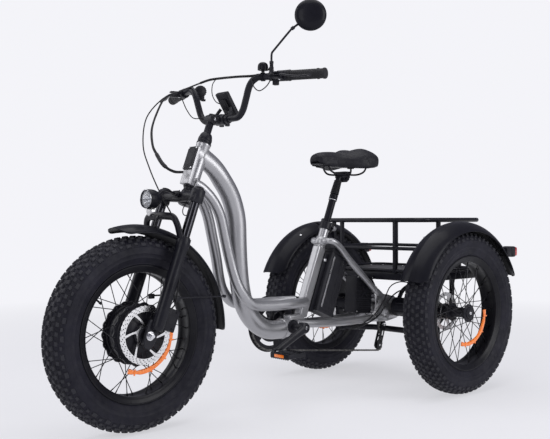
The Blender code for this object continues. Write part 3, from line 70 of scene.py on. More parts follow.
# ================================================================ dimensions
TYRE_R = 0.301
FRONT_HUB = V(0, -0.628, TYRE_R)
REAR_Y = 0.57
HALF_TRACK = 0.361
HEAD_TILT = radians(20.8)
HEAD_BASE = V(0, -0.412, 0.752)
UP = V(0, sin(HEAD_TILT), cos(HEAD_TILT))
AHEAD = V(0, -cos(HEAD_TILT), sin(HEAD_TILT))
LEG_X = 0.088
LEG_F = 0.028
BAR_R = 0.0111
BAR_Y = -0.281
BAR_Z = 0.984
SEAT_TILT = math.atan(0.412)
SEAT_BASE = V(0, 0.096, 0.319)
SEAT_UP = V(0, sin(SEAT_TILT), cos(SEAT_TILT))
SEAT_AHEAD = V(0, -cos(SEAT_TILT), sin(SEAT_TILT))
BB = V(0, 0.015, 0.268)
CRANK_ANGLE = radians(26)
CHAIN_PITCH = 0.0127
FRONT_DISC_X = 0.0583
SPOKES = 36
TREAD_PITCHES = 66
TAIL_LAMP_X = 0.378
BOOT_LOW, BOOT_HIGH = 0.46, 0.516
SADDLE_FRONT, SADDLE_LENGTH = 0.16, 0.274
VOXEL = 0.0045
PINNED_BELOW = 0.852
CLOTH_FRAMES = 20
SWELL_LIMIT = 0.005
RING_X = -0.0785
COG_X = -0.03
GRIP_START = V(0.257, BAR_Y + 0.037, BAR_Z + 0.12)
GRIP_END = V(0.4, BAR_Y + 0.089, BAR_Z + 0.116)
GRIP_AXIS = (GRIP_END - GRIP_START).normalized()
MIRROR_BALL = V(0.274, -0.206, 1.261)
MIRROR_CENTRE = V(0.303, -0.175, 1.293)
MIRROR_ARM = (MIRROR_CENTRE - MIRROR_BALL).normalized()


def steer(x, up, ahead):
    """A point by its distance up the steering axis and ahead of it."""
    return HEAD_BASE + X * x + UP * up + AHEAD * ahead


def seat(x, up, ahead):
    """A point by its distance up the seat tube and ahead of it."""
    return SEAT_BASE + X * x + SEAT_UP * up + SEAT_AHEAD * ahead


def bar_at(x):
    return GRIP_START + GRIP_AXIS * ((x - GRIP_START.x) / GRIP_AXIS.x)


def flip(point, side):
    return V(point.x * side, point.y, point.z)


def basis(axis, hint=None):
    """Rotation whose local Z is the axis and whose local X is near the hint."""
    z = Vector(axis).normalized()
    if hint is None:
        hint = X if abs(z.x) < 0.9 else Y
    x = (hint - z * hint.dot(z)).normalized()
    return Matrix((x, z.cross(x), z)).transposed()


def smooth_route(points, per_span=6):
    """Points on a smooth curve through the route's own points."""
    points = [Vector(p) for p in points]
    padded = [2 * points[0] - points[1], *points, 2 * points[-1] - points[-2]]
    route = []
    for a, b, c, d in zip(padded, padded[1:], padded[2:], padded[3:]):
        for step in range(per_span):
            t = step / per_span
            route.append(0.5 * (2 * b + (c - a) * t + (2 * a - 5 * b + 4 * c - d) * t * t
                + (3 * b - a - 3 * c + d) * t ** 3))
    route.append(points[-1])
    return route


def turns(count, shift=0):
    """Angles spaced evenly round a circle."""
    return [TAU * (i + shift) / count for i in range(count)]


def polar(radius, angle):
    return radius * cos(angle), radius * sin(angle)


def outward(angle):
    """The direction at an angle round the X axis."""
    return V(0, cos(angle), sin(angle))


def around(x, radius, angle):
    """A point at a radius and an angle round the X axis."""
    return V(x, radius * cos(angle), radius * sin(angle))


def both_halves(half):
    """A profile from one rim over its middle to the other, from half of it."""
    return half + [(r, -x) for r, x in reversed(half[:-1])]


def mm(*rows):
    """Rows of lengths given in millimetres, in metres."""
    return [tuple(round(n / 1000, 6) for n in row) for row in rows]


def circle(radius, count, centre=(0, 0), start=0.0, wave=0.0, waves=0):
    """Points round a circle, with an optional wave on its radius."""
    points = []
    for i in range(count):
        angle = start + TAU * i / count
        r = radius + wave * cos(waves * angle)
        points.append((centre[0] + r * cos(angle), centre[1] + r * sin(angle)))
    return points


# ================================================================ materials
class Shader:
    """A node tree under construction, with short ways to add its nodes."""

    def __init__(self, name):
        self.mat = bpy.data.materials.new(name)
        self.mat.use_nodes = True
        self.tree = self.mat.node_tree
        self.bsdf = self.tree.nodes["Principled BSDF"]
        self.coords = self.tree.nodes.new("ShaderNodeTexCoord").outputs["Object"]

    def link(self, a, b):
        self.tree.links.new(a, b)

    def stretched(self, scale):
        node = self.tree.nodes.new("ShaderNodeMapping")
        node.inputs["Scale"].default_value = scale
        self.link(self.coords, node.inputs["Vector"])
        return node.outputs["Vector"]

    def noise(self, scale, detail=3.0, vector=None, roughness=0.5):
        node = self.tree.nodes.new("ShaderNodeTexNoise")
        node.inputs["Scale"].default_value = scale
        node.inputs["Detail"].default_value = detail
        node.inputs["Roughness"].default_value = roughness
        self.link(self.coords if vector is None else vector, node.inputs["Vector"])
        return node.outputs["Fac"]

    def cells(self, scale, feature="F1"):
        node = self.tree.nodes.new("ShaderNodeTexVoronoi")
        node.feature = feature
        node.inputs["Scale"].default_value = scale
        self.link(self.coords, node.inputs["Vector"])
        return node.outputs["Distance"]

    def span(self, value, low, high, start=0.3, end=0.7):
        node = self.tree.nodes.new("ShaderNodeMapRange")
        node.inputs["From Min"].default_value = start
        node.inputs["From Max"].default_value = end
        node.inputs["To Min"].default_value = low
        node.inputs["To Max"].default_value = high
        self.link(value, node.inputs["Value"])
        return node.outputs["Result"]

    def mix(self, factor, a, b):
        node = self.tree.nodes.new("ShaderNodeMix")
        node.data_type = "RGBA"
        self.link(factor, node.inputs[0])
        for value, socket in ((a, node.inputs[6]), (b, node.inputs[7])):
            if isinstance(value, tuple):
                socket.default_value = (*value, 1.0)
            else:
                self.link(value, socket)
        return node.outputs[2]

    def bump(self, height, strength, distance):
        node = self.tree.nodes.new("ShaderNodeBump")
        node.inputs["Strength"].default_value = strength
        node.inputs["Distance"].default_value = distance
        self.link(height, node.inputs["Height"])
        previous = self.bsdf.inputs["Normal"].links
        if previous:
            self.link(previous[0].from_socket, node.inputs["Normal"])
        self.link(node.outputs["Normal"], self.bsdf.inputs["Normal"])

    def set(self, **values):
        for key, value in values.items():
            key = key.replace("_", " ")
            self.bsdf.inputs[key].default_value = value


def finish_look(name, dark, light, rough, metallic=0.0, patch=9.0, grain=900.0, bump=0.06, dust=0.0,
        edge=None, **sockets):
    """A finish: mottled colour, uneven roughness, fine grain, dust and worn edges."""
    s = Shader(name)
    mottled = s.noise(patch, 4.0)
    colour = s.mix(s.span(mottled, 0.0, 1.0), dark, light)
    if dust:
        settled = s.span(s.noise(patch * 2.3, 6.0, roughness=0.7), 0.0, dust, 0.42, 0.78)
        colour = s.mix(settled, colour, (0.24, 0.235, 0.225))
    if edge:
        geometry = s.tree.nodes.new("ShaderNodeNewGeometry")
        worn = s.span(geometry.outputs["Pointiness"], 0.0, edge[1], 0.53, 0.62)
        colour = s.mix(worn, colour, edge[0])
    s.link(colour, s.bsdf.inputs["Base Color"])
    s.link(s.span(s.noise(patch * 5, 5.0), rough[0], rough[1]), s.bsdf.inputs["Roughness"])
    s.bump(s.noise(grain, 2.0), bump, 0.0006)
    s.set(Metallic=metallic, **sockets)
    return s


def brushed_look(name, dark, light, rough, stretch):
    """Metal with fine lines drawn along one direction."""
    s = Shader(name)
    lines = s.noise(260.0, 2.0, s.stretched(stretch))
    s.link(s.mix(s.span(lines, 0.0, 1.0), dark, light), s.bsdf.inputs["Base Color"])
    s.link(s.span(s.noise(30.0, 4.0), rough[0], rough[1]), s.bsdf.inputs["Roughness"])
    s.bump(lines, 0.1, 0.0003)
    s.set(Metallic=1.0)
    return s


def make_looks():
    looks = {}
    paint = finish_look("silver_paint", (0.36, 0.36, 0.375), (0.41, 0.41, 0.425), (0.33, 0.39), 0.88,
        patch=5.0, grain=1800.0, bump=0.012, edge=((0.6, 0.6, 0.61), 0.22), Coat_Weight=0.12)
    paint.bump(paint.noise(14.0, 2.0), 0.02, 0.001)
    looks["paint"] = paint
    looks["weld"] = finish_look("weld_paint", (0.36, 0.36, 0.375), (0.45, 0.45, 0.46), (0.34, 0.46), 0.8,
        patch=60.0, grain=500.0, bump=0.35)
    looks["gloss"] = finish_look("gloss_black", (0.005, 0.005, 0.008), (0.009, 0.009, 0.0135), (0.3, 0.4),
        patch=7.0, grain=1400.0, bump=0.02, dust=0.01, Specular_IOR_Level=0.1, Coat_Weight=0.04)
    looks["metal"] = finish_look("black_metal", (0.0055, 0.0055, 0.009), (0.0115, 0.0115, 0.017),
        (0.28, 0.38), patch=12.0, grain=1800.0, bump=0.03, dust=0.01, edge=((0.05, 0.05, 0.056), 0.3),
        Specular_IOR_Level=0.2)
    looks["plastic"] = finish_look("black_plastic", (0.007, 0.007, 0.0105), (0.013, 0.013, 0.018),
        (0.4, 0.54), patch=15.0, grain=1500.0, bump=0.08, dust=0.02, Specular_IOR_Level=0.2)
    looks["battery"] = finish_look("battery_case", (0.013, 0.013, 0.017), (0.021, 0.021, 0.027),
        (0.36, 0.48), patch=9.0, grain=1700.0, bump=0.14, dust=0.04, Specular_IOR_Level=0.28)
    looks["rubber"] = finish_look("grip_rubber", (0.011, 0.011, 0.013), (0.02, 0.02, 0.023), (0.46, 0.6),
        patch=22.0, grain=1100.0, bump=0.1, dust=0.02, Specular_IOR_Level=0.2)
    looks["tyre"] = finish_look("tyre_rubber", (0.005, 0.005, 0.01), (0.0115, 0.0112, 0.0195), (0.5, 0.68),
        patch=14.0, grain=700.0, bump=0.16, dust=0.04, edge=((0.05, 0.05, 0.056), 0.45),
        Specular_IOR_Level=0.2)
    looks["rim"] = finish_look("rim_black", (0.0055, 0.0055, 0.008), (0.0105, 0.0105, 0.014), (0.26, 0.38),
        patch=10.0, grain=1200.0, bump=0.03, dust=0.02, Specular_IOR_Level=0.16)
    looks["spoke"] = brushed_look("spoke_black", (0.02, 0.02, 0.023), (0.045, 0.045, 0.05), (0.3, 0.44),
        (1, 1, 1))
    looks["chrome"] = brushed_look("chrome", (0.6, 0.6, 0.62), (0.78, 0.78, 0.8), (0.08, 0.17), (1, 1, 1))
    looks["steel"] = brushed_look("steel", (0.46, 0.46, 0.47), (0.62, 0.62, 0.63), (0.24, 0.36), (4, 1, 1))
    looks["rotor"] = brushed_look("rotor_steel", (0.66, 0.66, 0.67), (0.84, 0.84, 0.85), (0.22, 0.32),
        (1, 1, 1))
    looks["stanchion"] = brushed_look("stanchion_black", (0.035, 0.035, 0.04), (0.055, 0.055, 0.062),
        (0.1, 0.16), (1, 1, 1))
    looks["alloy"] = brushed_look("alloy", (0.46, 0.46, 0.48), (0.6, 0.6, 0.62), (0.26, 0.38), (1, 1, 6))
    looks["chain"] = finish_look("chain_steel", (0.09, 0.088, 0.085), (0.26, 0.255, 0.25), (0.28, 0.42),
        0.95, patch=90.0, grain=900.0, bump=0.1)
    looks["panel"] = finish_look("floor_panel", (0.06, 0.06, 0.066), (0.085, 0.085, 0.092), (0.34, 0.46),
        0.25, patch=5.0, grain=900.0, bump=0.12, dust=0.12)
    saddle = finish_look("saddle_vinyl", (0.006, 0.006, 0.0095), (0.01, 0.0098, 0.0145), (0.42, 0.54),
        patch=26.0, grain=2200.0, bump=0.03, dust=0.01, Specular_IOR_Level=0.2)
    saddle.bump(saddle.cells(620.0, "DISTANCE_TO_EDGE"), 0.1, 0.0004)
    looks["saddle"] = saddle
    # The reflector look also emits a faint orange glow: painted light, since the reflectors are no lamps.
    orange = finish_look("reflector_orange_painted_glow", (0.78, 0.15, 0.01), (0.95, 0.26, 0.03), (0.16, 0.28),
        patch=120.0, grain=600.0, bump=0.05, Coat_Weight=0.7, Emission_Color=(1.0, 0.22, 0.02, 1.0),
        Emission_Strength=0.1)
    orange.bump(orange.cells(260.0), 0.5, 0.001)
    looks["orange"] = orange
    red = finish_look("lens_red", (0.3, 0.006, 0.01), (0.48, 0.012, 0.016), (0.1, 0.2), patch=120.0,
        grain=600.0, bump=0.04, Coat_Weight=0.8)
    red.bump(red.cells(300.0), 0.45, 0.001)
    looks["red"] = red
    looks["glass"] = finish_look("lens_clear", (0.8, 0.82, 0.85), (0.92, 0.93, 0.95), (0.03, 0.08),
        patch=40.0, grain=500.0, bump=0.02, Transmission_Weight=0.85, IOR=1.45)
    looks["mirror"] = finish_look("mirror_glass", (0.8, 0.81, 0.83), (0.86, 0.87, 0.88), (0.02, 0.05), 1.0,
        patch=3.0, grain=300.0, bump=0.005)
    looks["screen"] = finish_look("screen", (0.006, 0.008, 0.011), (0.01, 0.013, 0.018), (0.05, 0.11),
        patch=6.0, grain=600.0, bump=0.01, Coat_Weight=0.6)
    return {key: shader.mat for key, shader in looks.items()}


LOOK = make_looks()


# ================================================================ building pieces
SLOT = {"tyre": "tyre", "rim": "rim", "orange": "rim", "metal": "black_metal", "spoke": "black_metal",
    "rotor": "silver", "chrome": "steel", "steel": "steel", "stanchion": "black_metal", "rubber": "rubber",
    "gloss": "fender", "paint": "silver_paint", "weld": "silver_paint", "plastic": "black_plastic",
    "alloy": "silver", "panel": "grey_panel", "chain": "steel", "battery": "battery", "glass": "battery",
    "saddle": "saddle", "screen": "black_plastic", "mirror": "silver", "red": "black_plastic"}


class Piece:
    """One visible mesh of the object, made of simple solids with real edges."""

    def __init__(self, name, look, body, *nodes, slot=None, angle=38):
        self.name, self.look, self.body, self.nodes, self.angle = name, look, body, nodes, angle
        self.slot = slot or SLOT[look]
        self.verts = []
        self.faces = []

    def add(self, verts, faces):
        base = len(self.verts)
        self.verts.extend(verts)
        self.faces.extend([tuple(base + i for i in f) for f in faces])
        return self

    def add_bm(self, bm, matrix=None):
        bm.verts.index_update()
        verts = [(matrix @ v.co if matrix else v.co.copy()) for v in bm.verts]
        faces = [[v.index for v in f.verts] for f in bm.faces]
        bm.free()
        return self.add(verts, faces)

    def lathe(self, profile, centre, axis, steps=48):
        """A profile of (radius, height) turned about the axis, closed where it meets it."""
        turn = basis(axis)
        verts, index = [], []
        for r, h in profile:
            if r < 1e-7:
                index.append([len(verts)] * steps)
                verts.append(centre + turn @ V(0, 0, h))
                continue
            index.append([len(verts) + i for i in range(steps)])
            for angle in turns(steps):
                verts.append(centre + turn @ V(r * cos(angle), r * sin(angle), h))
        faces = []
        for a, b in zip(index, index[1:]):
            for i in range(steps):
                j = (i + 1) % steps
                quad = [a[i], a[j], b[j], b[i]]
                face = [q for k, q in enumerate(quad) if q != quad[k - 1]]
                if len(face) > 2:
                    faces.append(face[::-1])
        return self.add(verts, faces)

    def ring(self, profile, centre, axis, steps=48):
        """A closed profile turned about the axis."""
        return self.lathe(list(profile) + [profile[0]], centre, axis, steps)

    def tube(self, route, radius, sides=16, closed=False, oval=None):
        """A tube along the route; radius is a number or one number for each point."""
        route = [Vector(p) for p in route]
        count = len(route)
        radii = radius if isinstance(radius, (list, tuple)) else [radius] * count
        verts, rows = [], []
        normal = None
        for i, p in enumerate(route):
            before = route[i - 1] if (i or closed) else p
            after = route[(i + 1) % count] if (i < count - 1 or closed) else p
            tangent = (after - before).normalized()
            if normal is None:
                hint = X if abs(tangent.x) < 0.9 else Z
                normal = (hint - tangent * hint.dot(tangent)).normalized()
            normal = (normal - tangent * normal.dot(tangent)).normalized()
            other = tangent.cross(normal)
            wide, tall = (oval[i] if oval else (1.0, 1.0))
            row = []
            for a in turns(sides):
                row.append(len(verts))
                verts.append(p + normal * (radii[i] * wide * cos(a)) + other * (radii[i] * tall * sin(a)))
            rows.append(row)
        faces = []
        pairs = list(zip(rows, rows[1:])) + ([(rows[-1], rows[0])] if closed else [])
        for a, b in pairs:
            for k in range(sides):
                m = (k + 1) % sides
                faces.append((a[k], a[m], b[m], b[k]))
        if not closed:
            faces.append(tuple(reversed(rows[0])))
            faces.append(tuple(rows[-1]))
        return self.add(verts, faces)

    def rod(self, start, end, radius, end_radius=None, sides=24, edge=0.0008):
        """A turned rod with softened ends."""
        start, end = Vector(start), Vector(end)
        r1 = radius if end_radius is None else end_radius
        length = (end - start).length
        e = min(edge, length / 3, radius / 2, r1 / 2)
        profile = [(0, 0), (radius - e, 0), (radius, e), (r1, length - e), (r1 - e, length), (0, length)]
        return self.lathe(profile, start, end - start, sides)

    def sleeve(self, start, end, outer, inner, sides=28, edge=0.0008):
        """A hollow collar."""
        start, end = Vector(start), Vector(end)
        length = (end - start).length
        profile = [(inner, 0), (outer - edge, 0), (outer, edge), (outer, length - edge),
            (outer - edge, length), (inner, length)]
        return self.ring(profile, start, end - start, sides)

    def box(self, size, centre, turn=None, bevel=0.002, segments=2):
        """A block with rounded edges; turn is a rotation matrix."""
        bm = bmesh.new()
        bmesh.ops.create_cube(bm, size=1.0, matrix=Matrix.Diagonal((*size, 1.0)))
        if bevel:
            bmesh.ops.bevel(bm, geom=bm.edges[:] + bm.verts[:], offset=min(bevel, min(size) * 0.45),
                segments=segments, profile=0.6, affect="EDGES")
        rotation = turn.to_4x4() if turn else Matrix.Identity(4)
        return self.add_bm(bm, Matrix.Translation(centre) @ rotation)

    def plate(self, outline, thickness, centre, normal, hint=None, holes=(), bevel=0.0):
        """A flat outline with holes, given its thickness and softened edges."""
        bm = bmesh.new()
        edges = []
        for loop in (outline, *holes):
            ring = [bm.verts.new((p[0], p[1], -thickness / 2)) for p in loop]
            edges += [bm.edges.new((ring[i - 1], ring[i])) for i in range(len(ring))]
        bmesh.ops.triangle_fill(bm, edges=edges, use_beauty=True, use_dissolve=False)
        for f in bm.faces:
            if f.normal.z > 0:
                f.normal_flip()
        top = bmesh.ops.extrude_face_region(bm, geom=bm.faces[:])
        lifted = [g for g in top["geom"] if isinstance(g, bmesh.types.BMVert)]
        bmesh.ops.translate(bm, verts=lifted, vec=(0, 0, thickness))
        bmesh.ops.recalc_face_normals(bm, faces=bm.faces)
        if bevel:
            rims = [e for e in bm.edges if len(e.link_faces) == 2 and e.calc_face_angle(0) > 1.2]
            bmesh.ops.bevel(bm, geom=rims, offset=bevel, segments=1, affect="EDGES", clamp_overlap=True)
        return self.add_bm(bm, Matrix.Translation(centre) @ basis(normal, hint).to_4x4())

    def bolt(self, base, axis, radius=0.004, height=0.004, hexagon=False):
        """A screw head: a domed one with a socket, or a hexagon."""
        axis = Vector(axis).normalized()
        if hexagon:
            self.plate(circle(radius, 6), height, base + axis * height / 2, axis, bevel=radius * 0.1)
            return self.rod(base + axis * height * 0.5, base + axis * (height + radius * 0.5), radius * 0.5,
                sides=12)
        profile = [(radius, 0), (radius, height * 0.55), (radius * 0.82, height), (radius * 0.48, height),
            (radius * 0.44, height * 0.35), (0, height * 0.35)]
        return self.lathe(profile, base, axis, 12)

    def mesh(self):
        mesh = bpy.data.meshes.new(self.name)
        mesh.from_pydata([tuple(v) for v in self.verts], [], [tuple(f) for f in self.faces])
        bm = bmesh.new()
        bm.from_mesh(mesh)
        bmesh.ops.recalc_face_normals(bm, faces=bm.faces)
        bm.to_mesh(mesh)
        bm.free()
        mesh.materials.append(LOOK[self.look])
        mesh.shade_smooth()
        mesh.set_sharp_from_angle(angle=radians(self.angle))
        return mesh

    def loose(self):
        """The finished object, linked but riding on nothing yet."""
        obj = bpy.data.objects.new(self.name, self.mesh())
        bpy.context.scene.collection.objects.link(obj)
        if self.nodes:
            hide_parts(*self.nodes)
        return obj

    def done(self):
        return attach(self.loose(), self.body)


# ================================================================ wheels
def tyre_profile():
    """Casing section from one bead over the crown to the other."""
    half = mm((203, 36.4), (211.8, 37.2), (215, 40.5), (216.5, 40.2), (224, 45.5), (233, 49.2),
        (234.2, 50.2), (235.6, 49.8), (246, 51.4), (247.5, 52.2), (249, 51.6), (258, 51.8), (266.5, 50.8),
        (268, 51.5), (269.5, 50.3), (276, 47.8), (283, 42.8), (289, 35), (293, 25), (295.5, 14), (296.3, 0))
    return both_halves(half)


def knob(piece, centre, across, angle, length, width, height, skew=0.0):
    """One tread block standing on the casing, narrower at its top."""
    radius, x, lean = across
    radial = outward(angle)
    forward = V(0, -sin(angle), cos(angle))
    out = radial * cos(lean) + X * sin(lean)
    side = X * cos(lean) - radial * sin(lean)
    base = centre + radial * radius + X * x
    verts = []
    for level, shrink in ((-0.003, 1.0), (height * 0.55, 0.94), (height, 0.76)):
        for a, b in ((-1, -1), (1, -1), (1, 1), (-1, 1)):
            along = (a * length + b * skew) * shrink
            verts.append(base + out * level + forward * along + side * (b * width * shrink))
    faces = [(0, 1, 5, 4), (1, 2, 6, 5), (2, 3, 7, 6), (3, 0, 4, 7), (4, 5, 9, 8), (5, 6, 10, 9),
        (6, 7, 11, 10), (7, 4, 8, 11), (8, 9, 10, 11)]
    piece.add(verts, faces)


def tyre(name, node, body, centre):
    """Fat tyre: ribbed sidewalls and rows of separate rubber blocks."""
    p = Piece(name, "tyre", body, node, angle=30)
    p.ring(tyre_profile(), centre, X, 120)
    for i in range(TREAD_PITCHES):
        a = TAU * i / TREAD_PITCHES
        half = TAU / TREAD_PITCHES / 2
        for s in (1, -1):
            shift = a + (half if s < 0 else 0)
            knob(p, centre, (0.2952, s * 0.0085, s * 0.03), shift, 0.0072, 0.0058, 0.0052, s * 0.0016)
            knob(p, centre, (0.2925, s * 0.0245, s * 0.28), shift + half, 0.0075, 0.0056, 0.0052,
                -s * 0.0018)
            knob(p, centre, (0.2858, s * 0.038, s * 0.75), shift, 0.0068, 0.005, 0.005, s * 0.001)
            if i % 2 == 0:
                knob(p, centre, (0.274, s * 0.048, s * 1.12), shift + half, 0.009, 0.0058, 0.0036)
            else:
                knob(p, centre, (0.2765, s * 0.0468, s * 1.08), shift + half, 0.006, 0.004, 0.0034)
    return p.done()


def rim(name, node, body, centre, valve_angle):
    """Wide box-section rim with rolled flanges and the valve."""
    p = Piece(name, "rim", body, node)
    half = mm((211.8, 36.5), (212.6, 38.8), (211.2, 40.8), (208.2, 40.8), (206, 39), (197.5, 37.8),
        (195.5, 36), (189.5, 33), (188.5, 30), (188.5, 16), (190.5, 13), (190.5, 0))
    p.lathe(both_halves(half), centre, X, 120)
    p.lathe(mm((211.8, -36.5), (200, -34), (198.5, 0), (200, 34), (211.8, 36.5)), centre, X, 72)
    radial = outward(valve_angle)
    p.rod(centre + radial * 0.19, centre + radial * 0.159, 0.003, sides=10)
    p.rod(centre + radial * 0.161, centre + radial * 0.152, 0.0042, 0.0034, sides=12)
    return p.done()


def spokes(p, centre, hub_r, hub_x, wrap, mirror):
    """Spokes crossing from both flanges, each with its nipple."""
    for index in range(SPOKES):
        side = 1 if index % 2 == 0 else -1
        turn = 1 if (index // 2) % 2 == 0 else -1
        rim_angle = TAU * index / SPOKES
        hub_angle = rim_angle + turn * wrap
        inner = centre + around(mirror * (side * hub_x + turn * 0.003), hub_r, hub_angle)
        outer = centre + around(mirror * (side * 0.01 + turn * 0.0015), 0.1895, rim_angle)
        along = (outer - inner).normalized()
        p.rod(inner, outer, 0.0014, sides=7)
        p.rod(outer - along * 0.015, outer, 0.0017, 0.0023, sides=8)
    return p


def reflector(name, body, centre, x, radius, first, last):
    """A curved spoke reflector with a narrow waist at each end."""
    p = Piece(name, "orange", body)
    steps = 26
    rows, verts = [], []
    for i in range(steps + 1):
        t = i / steps
        angle = first + (last - first) * t
        end = min(t, 1 - t)
        half = 0.0082 - 0.003 * exp(-((end - 0.13) / 0.05) ** 2) - 0.0014 * exp(-((t - 0.5) / 0.08) ** 2)
        lift = 0.0022 + 0.0018 * sin(math.pi * t)
        row = []
        for r, h in ((radius - half, -0.0012), (radius - half * 0.75, lift), (radius, lift + 0.0012),
                (radius + half * 0.75, lift), (radius + half, -0.0012), (radius, -0.0022)):
            row.append(len(verts))
            verts.append(centre + around(x + h, r, angle))
        rows.append(row)
    faces = [tuple(rows[0]), tuple(reversed(rows[-1]))]
    for a, b in zip(rows, rows[1:]):
        for k in range(6):
            m = (k + 1) % 6
            faces.append((a[k], b[k], b[m], a[m]))
    p.add(verts, faces)
    for t in (0.1, 0.37, 0.63, 0.9):
        angle = first + (last - first) * t
        at = centre + around(x, radius, angle)
        p.box((0.003, 0.005, 0.02), at + X * 0.0036, basis(outward(angle), X), bevel=0.0006)
    return p.done()


def front_wheel():
    c = FRONT_HUB
    tyre("tyre_front", "front_tyre", "front_wheel", c)
    rim("rim_front", "front_rim", "front_wheel", c, radians(140))
    p = Piece("hub_motor", "metal", "front_wheel", "front_hub_motor")
    half = mm((6.4, 56), (16, 56), (17.2, 54.8), (18, 50), (27, 48.5), (29, 47), (31, 44), (52, 42.5),
        (54.5, 41.2), (76, 39.5), (80, 38), (83, 35), (84, 34), (87, 33.8), (87, 23), (83.8, 21.5),
        (83.8, 12), (85, 10), (85, 0))
    p.lathe(both_halves(half), c, X, 96)
    p.lathe([(0.0064, -0.056), (0.0064, 0.056)], c, X, 24)
    for s in (1, -1):
        holes = [circle(0.0016, 6, polar(0.0925, a)) for a in turns(18)]
        p.plate(circle(0.0962, 144, wave=0.0022, waves=18), 0.006, c + X * s * 0.03, X, Y,
            [circle(0.0865, 48), *holes], bevel=0.0006)
        for a in turns(12, 0.5):
            p.bolt(c + around(s * 0.0382, 0.0785, a), X * s, 0.0032, 0.0026)
        for a in turns(24):
            p.box((0.002, 0.0022, 0.017), c + around(s * 0.0418, 0.064, a), basis(outward(a), X),
                bevel=0.0006, segments=1)
    p.done()
    laced = Piece("spokes_front", "spoke", "front_wheel")
    spokes(laced, c, 0.0925, 0.03, radians(24), 1).done()
    reflector("reflector_front", "front_wheel", c, 0.03, 0.116, radians(-2), radians(-112))
    brake_disc("disc_front", "front_wheel", c + X * FRONT_DISC_X, ("front_brake_disc",))


def brake_disc(name, body, centre, nodes):
    """Vented rotor: a drilled band on swept arms, with its six bolts."""
    windows, band = [], []
    for arm in range(6):
        loop = []
        first = radians(60 * arm + 3)
        last = radians(60 * arm + 56)
        for step in range(9):
            a = first + (last - first) * step / 8
            loop.append(polar(0.0715, a))
        for a, r in ((last - 0.06, 0.062), (last - 0.16, 0.05), (last - 0.3, 0.039), (last - 0.38, 0.034),
                (first - 0.26, 0.034), (first - 0.24, 0.04), (first - 0.16, 0.05), (first - 0.06, 0.062)):
            loop.append(polar(r, a))
        windows.append(loop)
    for i in range(34):
        for k, r in enumerate((0.0755, 0.0807, 0.0858)):
            a = TAU * (i + k * 0.34) / 34
            band.append(circle(0.002, 8, polar(r, a)))
    p = Piece(name, "rotor", body, *nodes, angle=30)
    outline = circle(0.0893, 144, wave=0.0008, waves=36)
    p.plate(outline, 0.0019, centre, X, Y, [circle(0.0165, 32), *windows, *band])
    p.done()
    bolts = Piece(name + "_bolts", "metal", body)
    bolts.ring(mm((16.5, -4), (26, -4), (26.5, 1.2), (24, 3), (16.5, 3)), centre, X, 40)
    for a in turns(6):
        bolts.bolt(centre + around(0.0028, 0.0212, a), X, 0.0034, 0.0024)
    bolts.done()


def rear_wheel(side):
    tag = TAG[side]
    body = "rear_wheel_" + tag
    c = V(side * HALF_TRACK, REAR_Y, TYRE_R)
    out = X * side
    tyre("tyre_rear_" + tag, "rear_tyre_" + tag, body, c)
    rim("rim_rear_" + tag, "rear_rim_" + tag, body, c, radians(200))
    p = Piece("hub_rear_" + tag, "metal", body, "rear_hub_" + tag)
    profile = mm((0, 44), (8, 44), (9.5, 45), (13, 45), (14, 43.5), (20, 43), (21.5, 41.5), (22, 39.5),
        (31.8, 39.5), (33, 38.5), (33, 34.5), (31.8, 33.5), (22.5, 32), (20.5, 29), (19, 18), (18.5, 0),
        (19, -18), (20.5, -29), (22.5, -32), (33, -34), (33, -38.5), (24, -40), (23, -43), (23, -60),
        (29, -62), (29, -69), (24, -70), (22.5, -75.5), (9.5, -76.5), (9.5, -307), (0, -307))
    p.lathe(profile, c, out, 48)
    for a in turns(10):
        p.bolt(c + around(side * 0.0385, 0.027, a), out, 0.0024, 0.0022)
    for i in range(18):
        for s in (1, -1):
            a = TAU * (i + (0.5 if s < 0 else 0)) / 18
            p.box((0.003, 0.006, 0.006), c + around(side * s * 0.035, 0.0305, a), basis(outward(a), X),
                bevel=0.001, segments=1)
    p.done()
    laced = Piece("spokes_rear_" + tag, "spoke", body)
    spokes(laced, c, 0.03, 0.035, radians(64), side).done()
    cap = Piece("hub_bolt_" + tag, "chrome", body)
    cap.bolt(c + out * 0.044, out, 0.0062, 0.0032)
    cap.done()
    disc = Piece("disc_rear_" + tag, "steel", body, slot="silver")
    windows = []
    for arm in range(5):
        loop = []
        first = radians(72 * arm + 8)
        last = radians(72 * arm + 64)
        for step in range(8):
            a = first + (last - first) * step / 7
            loop.append(polar(0.057, a))
        for a in (last - 0.16, last - 0.32, first - 0.02):
            loop.append(polar(0.033, a))
        windows.append(loop)
    holes = [circle(0.0015, 6, polar(0.0615 if i % 2 else 0.067, TAU * i / 48)) for i in range(48)]
    disc.plate(circle(0.0715, 96, wave=0.0007, waves=24), 0.0019, c - out * 0.0655, X, Y,
        [circle(0.024, 28), *windows, *holes])
    disc.done()
    reflector("reflector_rear_" + tag, body, c, 0.0285, 0.116, radians(2), radians(-108))


